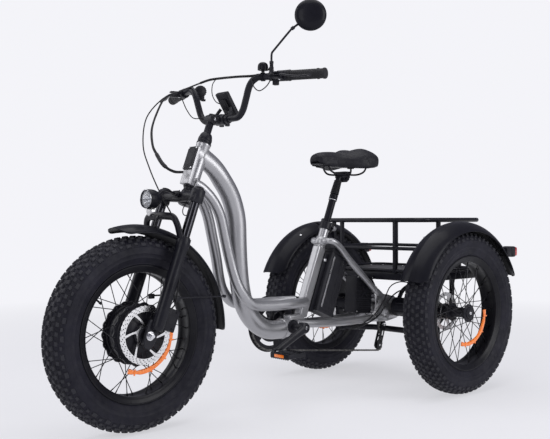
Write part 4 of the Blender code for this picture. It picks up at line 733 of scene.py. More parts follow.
# ================================================================ fork and mudguards
def fork():
    p = Piece("fork_crown_casting", "metal", "steering", "fork_crown")
    p.lathe(mm((0, -60), (23, -60), (25.8, -57), (26.2, -20), (24, -13), (21.5, -10), (21.5, -1),
        (14.3, -0.6), (14.3, 149), (0, 149)), HEAD_BASE, UP, 40)
    half = mm((0, -41, 26, 18), (30, -41, 27, 16.5), (58, -41, 28, 15.5), (78, -41, 28, 17.5),
        (98, -41, 28, 17.5), (107, -41, 28, 11))
    route = [steer(-x, u, f) for x, u, f, r in reversed(half[1:])] + [steer(x, u, f) for x, u, f, r in half]
    radii = [r for x, u, f, r in reversed(half[1:])] + [r for x, u, f, r in half]
    p.tube(smooth_route(route, 3), interpolate(radii, 3), 20, oval=[(1.0,
        0.92)] * (3 * (len(route) - 1) + 1))
    p.tube([steer(0, -0.045, 0.0), steer(0, -0.041, 0.03)], 0.0185, 20)
    for s in (1, -1):
        p.lathe(mm((0, -64), (20.5, -64), (22.6, -61), (22.6, -22), (20.5, -19), (15, -17.5), (14, -12),
            (11, -11), (10.5, -15), (0, -15)), HEAD_BASE + X * s * LEG_X + AHEAD * LEG_F, UP, 32)
        p.bolt(steer(s * (LEG_X + 0.01), -0.05, LEG_F + 0.02), AHEAD, 0.0036, 0.003)
        p.bolt(steer(s * (LEG_X + 0.01), -0.032, LEG_F + 0.02), AHEAD, 0.0036, 0.003)
    p.done()
    inner = Piece("stanchions", "stanchion", "steering")
    for s in (1, -1):
        inner.rod(steer(s * LEG_X, -0.33, LEG_F), steer(s * LEG_X, -0.055, LEG_F), 0.015, sides=36)
    inner.done()
    p = Piece("fork_lower_legs", "metal", "fork_legs", "fork_lowers")
    for s in (1, -1):
        x = s * LEG_X
        base = HEAD_BASE + X * x + AHEAD * LEG_F
        p.lathe(mm((0, -478), (15, -478), (19, -474), (20.3, -466), (20.3, -300), (19.6, -292),
            (19.6, -220), (21.2, -212), (22.2, -206), (22.2, -184), (21.4, -182), (18.5, -181.5),
            (18, -178), (15.2, -177), (15.2, -210)), base, UP, 36)
        outline = mm((-18, -36), (18, -36), (21.5, -20), (20.5, 30), (12, 52), (-10, 52), (-20, 28),
            (-21.5, -20))
        p.plate(outline, 0.012, steer(s * 0.078, -0.487, 0.036), X * s, AHEAD * s, bevel=0.0022)
        p.bolt(steer(x, -0.479, LEG_F), -UP, 0.007, 0.003)
    half = [(LEG_X, -0.204, 0.03, 0.015), (LEG_X - 0.001, -0.176, 0.048, 0.0125),
        (LEG_X - 0.006, -0.148, 0.066, 0.012), (LEG_X - 0.022, -0.13, 0.076, 0.012),
        (0.03, -0.126, 0.077, 0.0122), (0.0, -0.125, 0.077, 0.0125)]
    route = [steer(x, u, f) for x, u, f, r in half] + [steer(-x, u, f) for x, u, f,
        r in reversed(half[:-1])]
    radii = [r for x, u, f, r in half] + [r for x, u, f, r in reversed(half[:-1])]
    p.tube(smooth_route(route, 5), interpolate(radii, 5), 18, oval=[(1.0,
        0.72)] * (5 * (len(route) - 1) + 1))
    p.box((0.026, 0.01, 0.02), steer(0, -0.125, 0.08), basis(UP, X), bevel=0.003)
    p.done()
    wipers = Piece("fork_wipers", "rubber", "fork_legs")
    for s in (1, -1):
        for i in range(3):
            a = -0.1815 + i * 0.0016
            wipers.sleeve(steer(s * LEG_X, a, LEG_F), steer(s * LEG_X, a + 0.0014, LEG_F),
                0.0188 - 0.0008 * i, 0.0151, 28, 0.0004)
    wipers.done()
    axle = Piece("axle_front", "chrome", "fork_legs", "front_axle")
    axle.rod(FRONT_HUB - X * 0.1015, FRONT_HUB + X * 0.1015, 0.006, sides=20)
    for s in (1, -1):
        axle.lathe(mm((6, 0), (14, 0), (14, 1.2), (6, 1.2)), FRONT_HUB + X * s * 0.0845, X * s, 24)
        axle.plate(circle(0.0104, 6), 0.0086, FRONT_HUB + X * s * 0.09, X, bevel=0.0008)
        for i in range(5):
            t = FRONT_HUB + X * s * (0.095 + i * 0.0013)
            axle.ring(mm((5.8, 0), (6.4, 0.3), (5.8, 0.6)), t, X * s, 16)
    axle.done()
    cal = Piece("caliper_front", "metal", "fork_legs", "front_caliper")
    turn = Matrix.Rotation(radians(-22), 3, "X")
    at = V(FRONT_DISC_X, -0.54, 0.34)
    for s in (1, -1):
        cal.box((0.0122, 0.044, 0.07), at + X * s * 0.0087, turn, bevel=0.0042, segments=3)
        cal.rod(at + X * s * 0.014, at + X * s * 0.015, 0.013, sides=28)
        for k in (1, -1):
            cal.bolt(at + turn @ V(s * 0.0145, 0.01, k * 0.027), X * s, 0.0038, 0.0022)
    cal.box((0.022, 0.012, 0.056), at + turn @ V(0, 0.0165, 0), turn, bevel=0.003)
    cal.done()


def interpolate(values, per_span):
    """Values between the given ones, eased to match smooth_route's points."""
    out = []
    for a, b in zip(values, values[1:]):
        out += [a + (b - a) * (3 * (t / per_span) ** 2 - 2 * (t / per_span) ** 3) for t in range(per_span)]
    return out + [values[-1]]


def guard_shell(p, centre, first, last, half_width, radius, drop, corner=0.032):
    """A mudguard: a crowned sheet with rounded ends, rolled edges and a raised centre bead."""
    count = 26
    length = (last - first) * radius
    ends = [0.0, 0.0008, 0.003, 0.006, 0.01, 0.015, 0.021, 0.027, corner]
    middle = [corner + (length - 2 * corner) * i / 60 for i in range(1, 60)]
    rows, verts = [], []
    for at in ends + middle + [length - d for d in reversed(ends)]:
        angle = first + at / radius
        inset = corner - min(at, length - at, corner)
        half = half_width - corner + sqrt(corner ** 2 - inset ** 2)
        outer, inner = [], []
        for i in range(count + 1):
            x = half * (-1 + 2 * i / count)
            r = radius - drop * abs(x / half_width) ** 2.4 + 0.0014 * exp(-(x / half_width / 0.1) ** 2)
            outer.append((x, r + 0.0011))
            inner.append((x * 0.985, r - 0.0013))
        edge = radius - drop * (half / half_width) ** 2.4
        lip = [(half * 1.012, edge - 0.0026), (half * 0.985, edge - 0.0042)]
        loop = outer + lip + inner[::-1] + [(-x, r) for x, r in reversed(lip)]
        rows.append(range(len(verts), len(verts) + len(loop)))
        verts += [centre + around(x, r, angle) for x, r in loop]
    n = len(rows[0])
    faces = []
    for a, b in zip(rows, rows[1:]):
        for k in range(n):
            m = (k + 1) % n
            faces.append((a[k], a[m], b[m], b[k]))
    for row in (rows[0], rows[-1]):
        for k in range(count):
            faces.append((row[k], row[k + 1], row[2 * count + 2 - k], row[2 * count + 3 - k]))
        faces.append((row[count], row[count + 1], row[count + 2], row[count + 3]))
        faces.append((row[0], row[2 * count + 3], row[2 * count + 4], row[2 * count + 5]))
    return p.add(verts, faces)


def mudguards():
    p = Piece("mudguard_front", "gloss", "fork_legs", "front_fender", angle=50)
    guard_shell(p, FRONT_HUB, radians(-3), radians(103), 0.056, 0.333, 0.02)
    p.done()
    s = Piece("mudguard_front_stays", "metal", "fork_legs")
    for side in (1, -1):
        route = smooth_route([V(side * 0.068, -0.517, 0.404), V(side * 0.064, -0.5, 0.4055),
            V(side * 0.058, -0.33, 0.3995), V(side * 0.056, -0.313, 0.3985)], 4)
        s.tube(route, 0.0028, 10)
        s.rod(V(side * 0.05, -0.318, 0.399), V(side * 0.062, -0.318, 0.399), 0.0052, sides=12)
        s.box((0.01, 0.02, 0.016), V(side * 0.069, -0.518, 0.4035), bevel=0.002)
    s.tube([steer(0, -0.128, 0.083), V(0, -0.546, 0.648), V(0, -0.553, 0.627)], 0.0042, 10)
    s.bolt(FRONT_HUB + V(0, 0.082, 0.326), V(0, 0.24, 0.97), 0.0045, 0.003)
    s.done()
    for side in (1, -1):
        tag = TAG[side]
        c = V(side * HALF_TRACK, REAR_Y, TYRE_R)
        p = Piece("mudguard_rear_" + tag, "gloss", "frame", "rear_fender_" + tag, angle=50)
        guard_shell(p, c, radians(22), radians(157), 0.062, 0.338, 0.032)
        p.done()
        b = Piece("mudguard_rear_bolts_" + tag, "chrome", "frame")
        for degrees in (60, 90, 120):
            a = radians(degrees)
            radial = outward(a)
            b.bolt(c + radial * 0.3255 - X * side * 0.042, radial - X * side * 0.55, 0.0046, 0.003)
        b.done()
        lamp = Piece("tail_lamp_case_" + tag, "plastic", "frame")
        lamp.box((0.042, 0.034, 0.036), V(side * TAIL_LAMP_X, 0.85, 0.52), bevel=0.004)
        lamp.box((0.046, 0.026, 0.042), V(side * TAIL_LAMP_X, 0.878, 0.52), bevel=0.007, segments=3)
        lamp.done()
        lens = Piece("tail_lamp_lens_" + tag, "red", "frame")
        lens.box((0.04, 0.026, 0.036), V(side * TAIL_LAMP_X, 0.897, 0.52), bevel=0.009, segments=4)
        for k in range(5):
            lens.box((0.0016, 0.027, 0.03), V(side * TAIL_LAMP_X + (k - 2) * 0.0066, 0.8975, 0.52),
                bevel=0.0005, segments=1)
        lens.done()
        arm = Piece("tail_lamp_arm_" + tag, "metal", "frame")
        arm.box((0.006, 0.05, 0.01), V(side * TAIL_LAMP_X, 0.84, 0.52), bevel=0.002)
        arm.done()


# ================================================================ main frame
def weld(p, centre, axis, radius, thick=0.0024, steps=44, tall=1.0, hint=None):
    """A rippled weld bead round a tube."""
    turn = basis(axis, hint)
    route = []
    for i in range(steps):
        a = TAU * i / steps
        ripple = 0.0005 * (1 if i % 2 else -1)
        route.append(centre + turn @ V((radius + ripple) * cos(a), (radius + ripple) * tall * sin(a), 0))
    p.tube(route, thick, 8, closed=True)


def coped_weld(p, start, direction, radius, target, axis, target_radius, thick=0.002, steps=48, wide=1.0):
    """A weld bead where a tube meets the side of another tube."""
    direction, axis = Vector(direction).normalized(), Vector(axis).normalized()
    turn = basis(direction)
    across = direction - axis * direction.dot(axis)
    route = []
    for i in range(steps):
        a = TAU * i / steps
        q = Vector(start) + turn @ V(radius * wide * cos(a), radius * sin(a), 0)
        gap = q - target
        gap -= axis * gap.dot(axis)
        b = gap.dot(across)
        spread = b * b - across.length_squared * (gap.length_squared - target_radius ** 2)
        t = (-b - sqrt(max(0.0, spread))) / across.length_squared
        route.append(q + direction * (t + (0.0004 if i % 2 else -0.0004)))
    p.tube(route, thick, 8, closed=True)


def main_frame():
    p = Piece("head_tube_shell", "paint", "frame", "head_tube")
    p.ring(mm((18.6, 0), (23.6, 0), (24.2, 0.8), (24.2, 11), (22.5, 15), (22.5, 145), (24.2, 149),
        (24.2, 159.2), (23.6, 160), (18.6, 160)), HEAD_BASE, UP, 48)
    p.box((0.044, 0.016, 0.131), steer(0, 0.07, 0.024), basis(UP, X), bevel=0.003, segments=3)
    p.done()
    cups = Piece("headset_cups", "metal", "frame")
    cups.sleeve(steer(0, -0.0004, 0), steer(0, 0.006, 0), 0.0246, 0.0188, 40)
    cups.sleeve(steer(0, 0.154, 0), steer(0, 0.16, 0), 0.0247, 0.0188, 40)
    cups.done()

    route = smooth_route(mm((0, -392, 872), (0, -321, 827), (0, -278, 779), (0, -247, 735), (0, -228, 690),
        (0, -217, 640), (0, -214, 560), (0, -209, 480), (0, -200, 415), (0, -183, 357), (0, -150, 308),
        (0, -103, 273), (0, -55, 259), (0, 12, 260)), 6)
    p = Piece("down_tube_shell", "paint", "frame", "down_tube", angle=60)
    p.tube(route, 0.0332, 48, oval=[(min(1.0, 0.66 + i * 0.03), 1.0) for i in range(len(route))])
    p.done()

    half = mm((16, -408, 767), (24, -378, 748), (30, -343, 712), (33, -315, 662), (34, -294, 585),
        (36, -276, 516), (43, -258, 450), (49, -238, 408), (52.2, -205, 372), (52.2, -164, 356),
        (52.2, -85, 351), (52.2, -13, 351), (44, 40, 351), (26, 86, 351))
    for side in (1, -1):
        tag = TAG[side]
        p = Piece("side_tube_shell_" + tag, "paint", "frame", "side_tube_" + tag, angle=60)
        p.tube(smooth_route([(side * x, y, z) for x, y, z in half], 6), 0.0182, 32)
        p.done()

    p = Piece("seat_tube_shell", "paint", "frame", "seat_tube")
    p.box((0.034, 0.04, 0.272), seat(0, 0.112, 0), basis(SEAT_UP, X), bevel=0.0075, segments=4)
    p.box((0.034, 0.078, 0.053), V(0, 0.056, 0.2785), bevel=0.006, segments=3)
    p.sleeve(V(-0.034, BB.y, BB.z), V(0.034, BB.y, BB.z), 0.025, 0.013, 40, 0.0012)
    p.sleeve(seat(0, 0.232, 0), seat(0, 0.341, 0), 0.0172, 0.0141, 36)
    p.done()
    cups = Piece("bottom_bracket_cups", "metal", "frame")
    for s in (1, -1):
        cups.sleeve(V(s * 0.033, BB.y, BB.z), V(s * 0.04, BB.y, BB.z), 0.0238, 0.0112, 36)
        for a in turns(16):
            cups.box((0.006, 0.0036, 0.002), V(s * 0.0362, BB.y, BB.z) + around(0, 0.0238, a),
                basis(outward(a), X), bevel=0.0006, segments=1)
    cups.done()

    p = Piece("seat_stay_tube", "paint", "frame", "seat_stays", angle=60)
    half = mm((17.8, 196, 567), (24, 196, 567), (38, 200, 569), (47, 215, 566), (50, 245, 547),
        (50, 291, 504), (50, 392, 419.5), (50, 460, 363))
    for s in (1, -1):
        p.tube(smooth_route([V(s * x, y, z) for x, y, z in half], 6), 0.0123, 28)
    p.sleeve(seat(0, 0.2525, 0), seat(0, 0.2805, 0), 0.0226, 0.017, 40, 0.002)
    p.done()
    outline = mm((428, 252), (520, 247), (580, 256), (596, 270), (602, 290), (600, 312), (590, 328),
        (560, 343), (496, 356), (472, 374), (458, 382), (442, 370), (446, 340), (450, 310), (440, 290),
        (426, 280))
    for side in (1, -1):
        tag = TAG[side]
        p = Piece("chain_stay_tube_" + tag, "paint", "frame", "chain_stay_" + tag, angle=50)
        low = mm((29, 40, 276), (32, 80, 272), (40, 160, 267), (47, 260, 264), (50, 340, 264),
            (50, 458, 266))
        p.tube(smooth_route([(side * x, y, z) for x, y, z in low], 6), 0.0115, 26, oval=[(0.86, 1.22)] * 31)
        p.plate([(y - REAR_Y, z - TYRE_R) for y, z in outline], 0.006, V(side * 0.05, REAR_Y, TYRE_R), X, Y,
            [circle(0.016, 32), circle(0.006, 14, (-0.062, -0.03)), circle(0.004, 12, (-0.108, 0.026))],
            bevel=0.0009)
        p.done()

    w = Piece("weld_beads", "weld", "frame")
    coped_weld(w, (0, -0.321, 0.827), (0, -0.845, 0.535), 0.033, HEAD_BASE, UP, 0.0228, 0.0024, 56, 0.72)
    weld(w, V(0, -0.008, 0.2585), Y, 0.0334, 0.0024, 56)
    for s in (1, -1):
        coped_weld(w, (s * 0.03, -0.343, 0.712), (-s * 0.014, -0.065, 0.055), 0.0182, HEAD_BASE, UP, 0.024,
            0.002, 40)
        coped_weld(w, (s * 0.05, 0.196, 0.567), (-s, 0, 0), 0.0123, SEAT_BASE, SEAT_UP, 0.0227, 0.0017, 32)
        weld(w, V(s * 0.05, 0.444, 0.3765), V(0, 0.78, -0.62), 0.0126, 0.0018, 30)
        weld(w, V(s * 0.05, 0.435, 0.2655), Y, 0.0112, 0.0018, 30, 1.16, Z)
        weld(w, V(s * 0.03, 0.047, 0.2755), Y, 0.0116, 0.0018, 30)
    weld(w, seat(0, 0.249, 0), SEAT_UP, 0.0188, 0.0024, 40)
    weld(w, seat(0, 0.281, 0), SEAT_UP, 0.019, 0.002, 40)
    w.done()
    plate = Piece("rack_plate", "plastic", "frame", "front_rack_plate")
    outline = mm((-24, -37), (-21, -40), (21, -40), (24, -37), (24, 37), (21, 40), (-21, 40), (-24, 37))
    plate.plate(outline, 0.004, steer(0, 0.0925, 0.0343), AHEAD, X, bevel=0.0007)
    plate.box((0.034, 0.066, 0.001), steer(0, 0.0925, 0.0365), basis(AHEAD, X), bevel=0.0004)
    plate.done()
    screws = Piece("rack_plate_screws", "chrome", "frame")
    for x in (-0.0195, 0.0195):
        for u in (0.0575, 0.1275):
            screws.bolt(steer(x, u, 0.0362), AHEAD, 0.003, 0.0018)
    screws.done()

    c = Piece("seat_quick_release", "metal", "frame", "seat_clamp")
    c.sleeve(seat(0, 0.316, 0), seat(0, 0.344, 0), 0.023, 0.0138, 40, 0.0018)
    c.box((0.024, 0.018, 0.022), seat(0, 0.33, -0.0265), basis(SEAT_UP, X), bevel=0.003)
    c.tube(smooth_route([seat(-0.03, 0.331, -0.029), seat(-0.031, 0.332, -0.012),
        seat(-0.032, 0.334, 0.008), seat(-0.03, 0.335, 0.027)], 5), interpolate([0.0072, 0.0064, 0.0068,
        0.0048], 5), 14, oval=[(1.1, 0.5)] * 16)
    c.rod(seat(-0.033, 0.33, -0.027), seat(-0.02, 0.33, -0.027), 0.0086, sides=20)
    c.done()
    q = Piece("quick_release_nut", "alloy", "frame")
    q.rod(seat(-0.026, 0.33, -0.027), seat(0.029, 0.33, -0.027), 0.0042, sides=16)
    q.rod(seat(0.015, 0.33, -0.027), seat(0.027, 0.33, -0.027), 0.008, sides=20)
    q.done()


def rear_frame():
    y, z = REAR_Y, TYRE_R
    p = Piece("axle_frame", "metal", "frame", "rear_subframe")
    half = [(0.244, y, 0.198), (0.19, y + 0.01, 0.198), (0.13, y + 0.05, 0.198), (0.09, y + 0.064, 0.198)]
    route = [(-a, b, c) for a, b, c in half] + [(a, b, c) for a, b, c in reversed(half)]
    p.tube(smooth_route(route, 4), 0.012, 20)
    for s in (1, -1):
        p.lathe(mm((10.4, 56.5), (34, 56.5), (37.2, 59), (37.5, 64), (37.5, 70), (33.5, 74), (33.5, 123),
            (37.2, 126), (37.5, 130), (37.5, 136), (35, 140), (30, 141), (30, 225), (33, 229), (33, 260),
            (31, 262), (20, 262), (10.4, 262)), V(0, y, z), X * s, 48)
        for a in turns(6, 0.5):
            p.bolt(V(s * 0.136, y + 0.0335 * cos(a), z + 0.0335 * sin(a)), X * s, 0.0034, 0.003, True)
            p.box((0.048, 0.003, 0.005), V(s * 0.0985, y + 0.0345 * cos(a), z + 0.0345 * sin(a)),
                basis(outward(a), X), bevel=0.0008, segments=1)
        p.box((0.02, 0.044, 0.2336), V(s * 0.244, y, 0.2968), bevel=0.003, segments=3)
        p.box((0.006, 0.074, 0.03), V(s * 0.252, y, 0.398), bevel=0.002)
        brace = [(s * 0.244, y + 0.01, 0.24), (s * 0.244, y + 0.075, 0.29), (s * 0.244, y + 0.11, 0.35),
            (s * 0.244, y + 0.112, 0.414)]
        p.tube(smooth_route(brace, 5), 0.01, 18)
        for zz in (0.39, 0.404):
            p.bolt(V(s * 0.255, y - 0.022, zz), X * s, 0.0042, 0.003)
            p.bolt(V(s * 0.255, y + 0.022, zz), X * s, 0.0042, 0.003)
        p.tube(smooth_route([(s * 0.07, y, z + 0.03), (s * 0.076, y + 0.02, 0.366),
            (s * 0.11, y + 0.04, 0.396), (s * 0.13, y + 0.05, 0.418)], 4), 0.0085, 14)
    p.done()
    w = Piece("axle_frame_welds", "metal", "frame")
    for s in (1, -1):
        weld(w, V(s * 0.233, y + 0.003, 0.198), X, 0.0124, 0.0018, 30)
        weld(w, V(s * 0.234, y, z), X, 0.0335, 0.0022, 44)
    w.done()

    y0, y1, hw = 0.4645, 0.846, 0.27
    zt, zm, ft = 0.646, 0.537, 0.4475
    b = Piece("basket_base_frame", "metal", "frame", "basket_base")
    zc = ft - 0.0055 - 0.014
    for yy in (y0 + 0.012, y1 - 0.012, y):
        b.box((2 * hw, 0.024, 0.028), V(0, yy, zc), bevel=0.0028, segments=3)
    for s in (1, -1):
        b.box((0.024, y1 - y0, 0.028), V(s * (hw - 0.012), (y0 + y1) / 2, zc), bevel=0.0028, segments=3)
        b.box((0.02, y1 - y0 - 0.02, 0.022), V(s * 0.09, (y0 + y1) / 2, zc), bevel=0.0028)
    b.done()
    rails = Piece("basket_rail_tubes", "metal", "frame", "basket_rails", angle=50)

    def hoop(zz, radius):
        points = []
        for cx, cy, start in ((hw - 0.045, y1 - 0.045, 0), (-hw + 0.045, y1 - 0.045, 90),
                (-hw + 0.045, y0 + 0.045, 180), (hw - 0.045, y0 + 0.045, 270)):
            for i in range(9):
                a = radians(start + 90 * i / 8)
                points.append(V(cx + 0.045 * cos(a), cy + 0.045 * sin(a), zz))
        rails.tube(points, radius, 18, closed=True)

    hoop(zt, 0.0088)
    hoop(zm, 0.007)
    hoop(ft + 0.004, 0.0056)
    foot = ft - 0.0052
    for px, py in ((0.137, y0), (-0.137, y0), (0.165, y1), (-0.165, y1), (hw, 0.56), (-hw, 0.56)):
        rails.box((0.014, 0.014, zt - foot), V(px, py, (zt + foot) / 2), bevel=0.0022, segments=3)
        for zz in (zt - 0.008, zm + 0.007, zm - 0.007):
            rails.tube([V(px + 0.0088 * cos(a), py + 0.0088 * sin(a), zz) for a in turns(20)], 0.0016, 6,
                closed=True)
    rails.done()
    basket_floor(y0, y1, hw, ft)


def basket_floor(y0, y1, hw, top):
    """Pressed steel sheet with shallow beads and a folded border."""
    p = Piece("basket_floor_sheet", "panel", "frame", "basket_floor")
    middle = (y0 + y1) / 2
    long, deep = hw - 0.017, (y1 - y0) / 2 - 0.017
    p.box((2 * long, 2 * deep, 0.003), V(0, middle, top - 0.0026), bevel=0.0008)
    for k in range(9):
        p.box((2 * long - 0.06, 0.013, 0.0022), V(0, middle + (k - 4) * 0.035, top - 0.0012), bevel=0.001)
    for s in (1, -1):
        p.box((0.013, 2 * deep, 0.0046), V(s * (long - 0.0062), middle, top - 0.0023), bevel=0.0014)
        p.box((2 * long, 0.013, 0.0046), V(0, middle + s * (deep - 0.0062), top - 0.0023), bevel=0.0014)
    p.done()
    r = Piece("basket_floor_rivets", "steel", "frame")
    head = mm((0, 1.4), (2, 1.2), (3.2, 0))
    for s in (1, -1):
        for t in (-0.22, -0.11, 0.0, 0.11, 0.22):
            r.lathe(head, V(t, middle + s * (deep - 0.0062), top), Z, 12)
        for t in (-0.12, 0.0, 0.12):
            r.lathe(head, V(s * (long - 0.0062), middle + t, top), Z, 12)
    r.done()


# ================================================================ drive
def crank_dir(side):
    return V(0, -cos(CRANK_ANGLE) * side, -sin(CRANK_ANGLE) * side)


def crank(side):
    tag = TAG[side]
    p = Piece("crank_arm_" + tag, "metal", "crankset", "crank_" + tag)
    centre = V(side * 0.098, BB.y, BB.z)
    direction = crank_dir(side)
    route = [centre + direction * t for t in (0.0, 0.02, 0.05, 0.1, 0.14, 0.16, 0.17)]
    p.tube(smooth_route(route, 3), interpolate([0.0175, 0.0158, 0.0135, 0.0125, 0.013, 0.014, 0.008], 3),
        20, oval=[(0.5, 1.0)] * 19)
    p.lathe(mm((0, 104), (8, 104), (8.5, 105.2), (13, 105.2), (17.5, 103.5), (19, 100), (19, 76),
        (17.5, 74.2), (0, 74.2)), V(0, BB.y, BB.z), X * side, 36)
    p.rod(centre + direction * 0.16 - X * side * 0.0072, centre + direction * 0.16 + X * side * 0.0072,
        0.0138, sides=28)
    if side > 0:
        p.rod(V(-0.074, BB.y, BB.z), V(0.076, BB.y, BB.z), 0.0098, sides=24)
    else:
        for a in turns(5):
            arm = outward(a)
            ring = V(RING_X - 0.004, BB.y, BB.z)
            p.tube([ring + arm * 0.012, ring + arm * 0.035, ring + arm * 0.064], [0.011, 0.008, 0.0074], 14,
                oval=[(0.36, 1.0)] * 3)
    p.done()
    c = Piece("crank_bolt_" + tag, "chrome", "crankset")
    c.bolt(V(side * 0.104, BB.y, BB.z), X * side, 0.0066, 0.003)
    if side < 0:
        for a in turns(5):
            c.bolt(V(RING_X - 0.0052, BB.y + 0.062 * cos(a), BB.z + 0.062 * sin(a)), -X, 0.0042, 0.0028)
    c.done()
    if side < 0:
        ring = Piece("chainring_teeth", "metal", "crankset", angle=30)
        teeth = 46
        outline = []
        for i in range(teeth * 6):
            a = TAU * i / (teeth * 6)
            w = (0.0932, 0.0948, 0.0975, 0.0985, 0.0975, 0.0948)[i % 6]
            outline.append(polar(w, a))
        windows = []
        for i in range(5):
            first, last = radians(72 * i + 9), radians(72 * i + 63)
            loop = [polar(0.08, first + (last - first) * k / 8) for k in range(9)]
            loop += [polar(0.066, last - (last - first) * k / 8) for k in range(9)]
            windows.append(loop)
        ring.plate(outline, 0.0024, V(RING_X, BB.y, BB.z), X, Y, [circle(0.056, 40), *windows])
        ring.done()
        guard = Piece("chain_guard", "plastic", "crankset")
        guard.ring(mm((87, -0.5), (101.5, -0.5), (104, 1), (104, 2.6), (87, 3.4)),
            V(RING_X - 0.0062, BB.y, BB.z), X * -1, 90)
        guard.done()


def pedal(side):
    tag = TAG[side]
    body = tag + "_pedal"
    tip = V(side * 0.098, BB.y, BB.z) + crank_dir(side) * 0.16
    mid = tip + X * side * 0.062
    p = Piece("pedal_body_" + tag, "plastic", body, "pedal_" + tag)
    p.box((0.03, 0.026, 0.02), mid, bevel=0.004)
    for s in (1, -1):
        p.box((0.088, 0.006, 0.017), mid + Y * s * 0.037, bevel=0.0022)
        p.box((0.007, 0.076, 0.014), mid + X * s * 0.04, bevel=0.0025)
        p.box((0.006, 0.066, 0.012), mid + X * s * 0.013, bevel=0.002)
        for k in range(9):
            for face in (1, -1):
                p.box((0.0044, 0.005, 0.004), mid + V((k - 4) * 0.0096, s * 0.037, face * 0.009),
                    bevel=0.0012, segments=1)
    p.lathe(mm((0, -36), (11, -36), (12.5, -30), (10.5, 20), (9, 42), (0, 42)), mid, X * side, 24)
    p.done()
    a = Piece("pedal_axle_" + tag, "steel", body)
    a.rod(tip - X * side * 0.0055, tip + X * side * 0.034, 0.0068, sides=20)
    a.plate(circle(0.0092, 6), 0.005, tip + X * side * 0.0105, X, bevel=0.0006)
    a.done()
    for s in (1, -1):
        r = Piece("pedal_reflector_%s_%s" % (tag, "front" if s < 0 else "back"), "orange", body,
            slot="black_plastic")
        r.box((0.044, 0.0026, 0.01), mid + Y * s * 0.0408, bevel=0.0011)
        r.done()


def belt_route(wheels, steps_for):
    """The path of a chain round wheels given as (y, z, radius, turn, x)."""
    contacts = []
    for index, wheel in enumerate(wheels):
        following = wheels[(index + 1) % len(wheels)]
        dy, dz = following[0] - wheel[0], following[1] - wheel[1]
        distance = math.hypot(dy, dz)
        dy, dz = dy / distance, dz / distance
        lean = (wheel[2] * wheel[3] - following[2] * following[3]) / distance
        rise = sqrt(1 - lean * lean)
        contacts.append((lean * dy + rise * dz, lean * dz - rise * dy))
    points = []
    for index, (y, z, radius, turn, x) in enumerate(wheels):
        arriving, leaving = contacts[index - 1], contacts[index]
        start = math.atan2(arriving[1] * turn, arriving[0] * turn)
        end = math.atan2(leaving[1] * turn, leaving[0] * turn)
        sweep = (end - start) * turn % TAU * turn
        for step in range(steps_for + 1):
            a = start + sweep * step / steps_for
            points.append(V(x, y + radius * cos(a), z + radius * sin(a)))
    return points


def resample(points, pitch):
    """Points a fixed distance apart round a closed path."""
    loop = points + [points[0]]
    lengths = [(b - a).length for a, b in zip(loop, loop[1:])]
    total = sum(lengths)
    count = int(round(total / pitch / 2)) * 2
    out, k, walked = [], 0, 0.0
    for i in range(count):
        want = total * i / count
        while walked + lengths[k] < want:
            walked += lengths[k]
            k += 1
        out.append(loop[k].lerp(loop[k + 1], (want - walked) / max(lengths[k], 1e-9)))
    return out


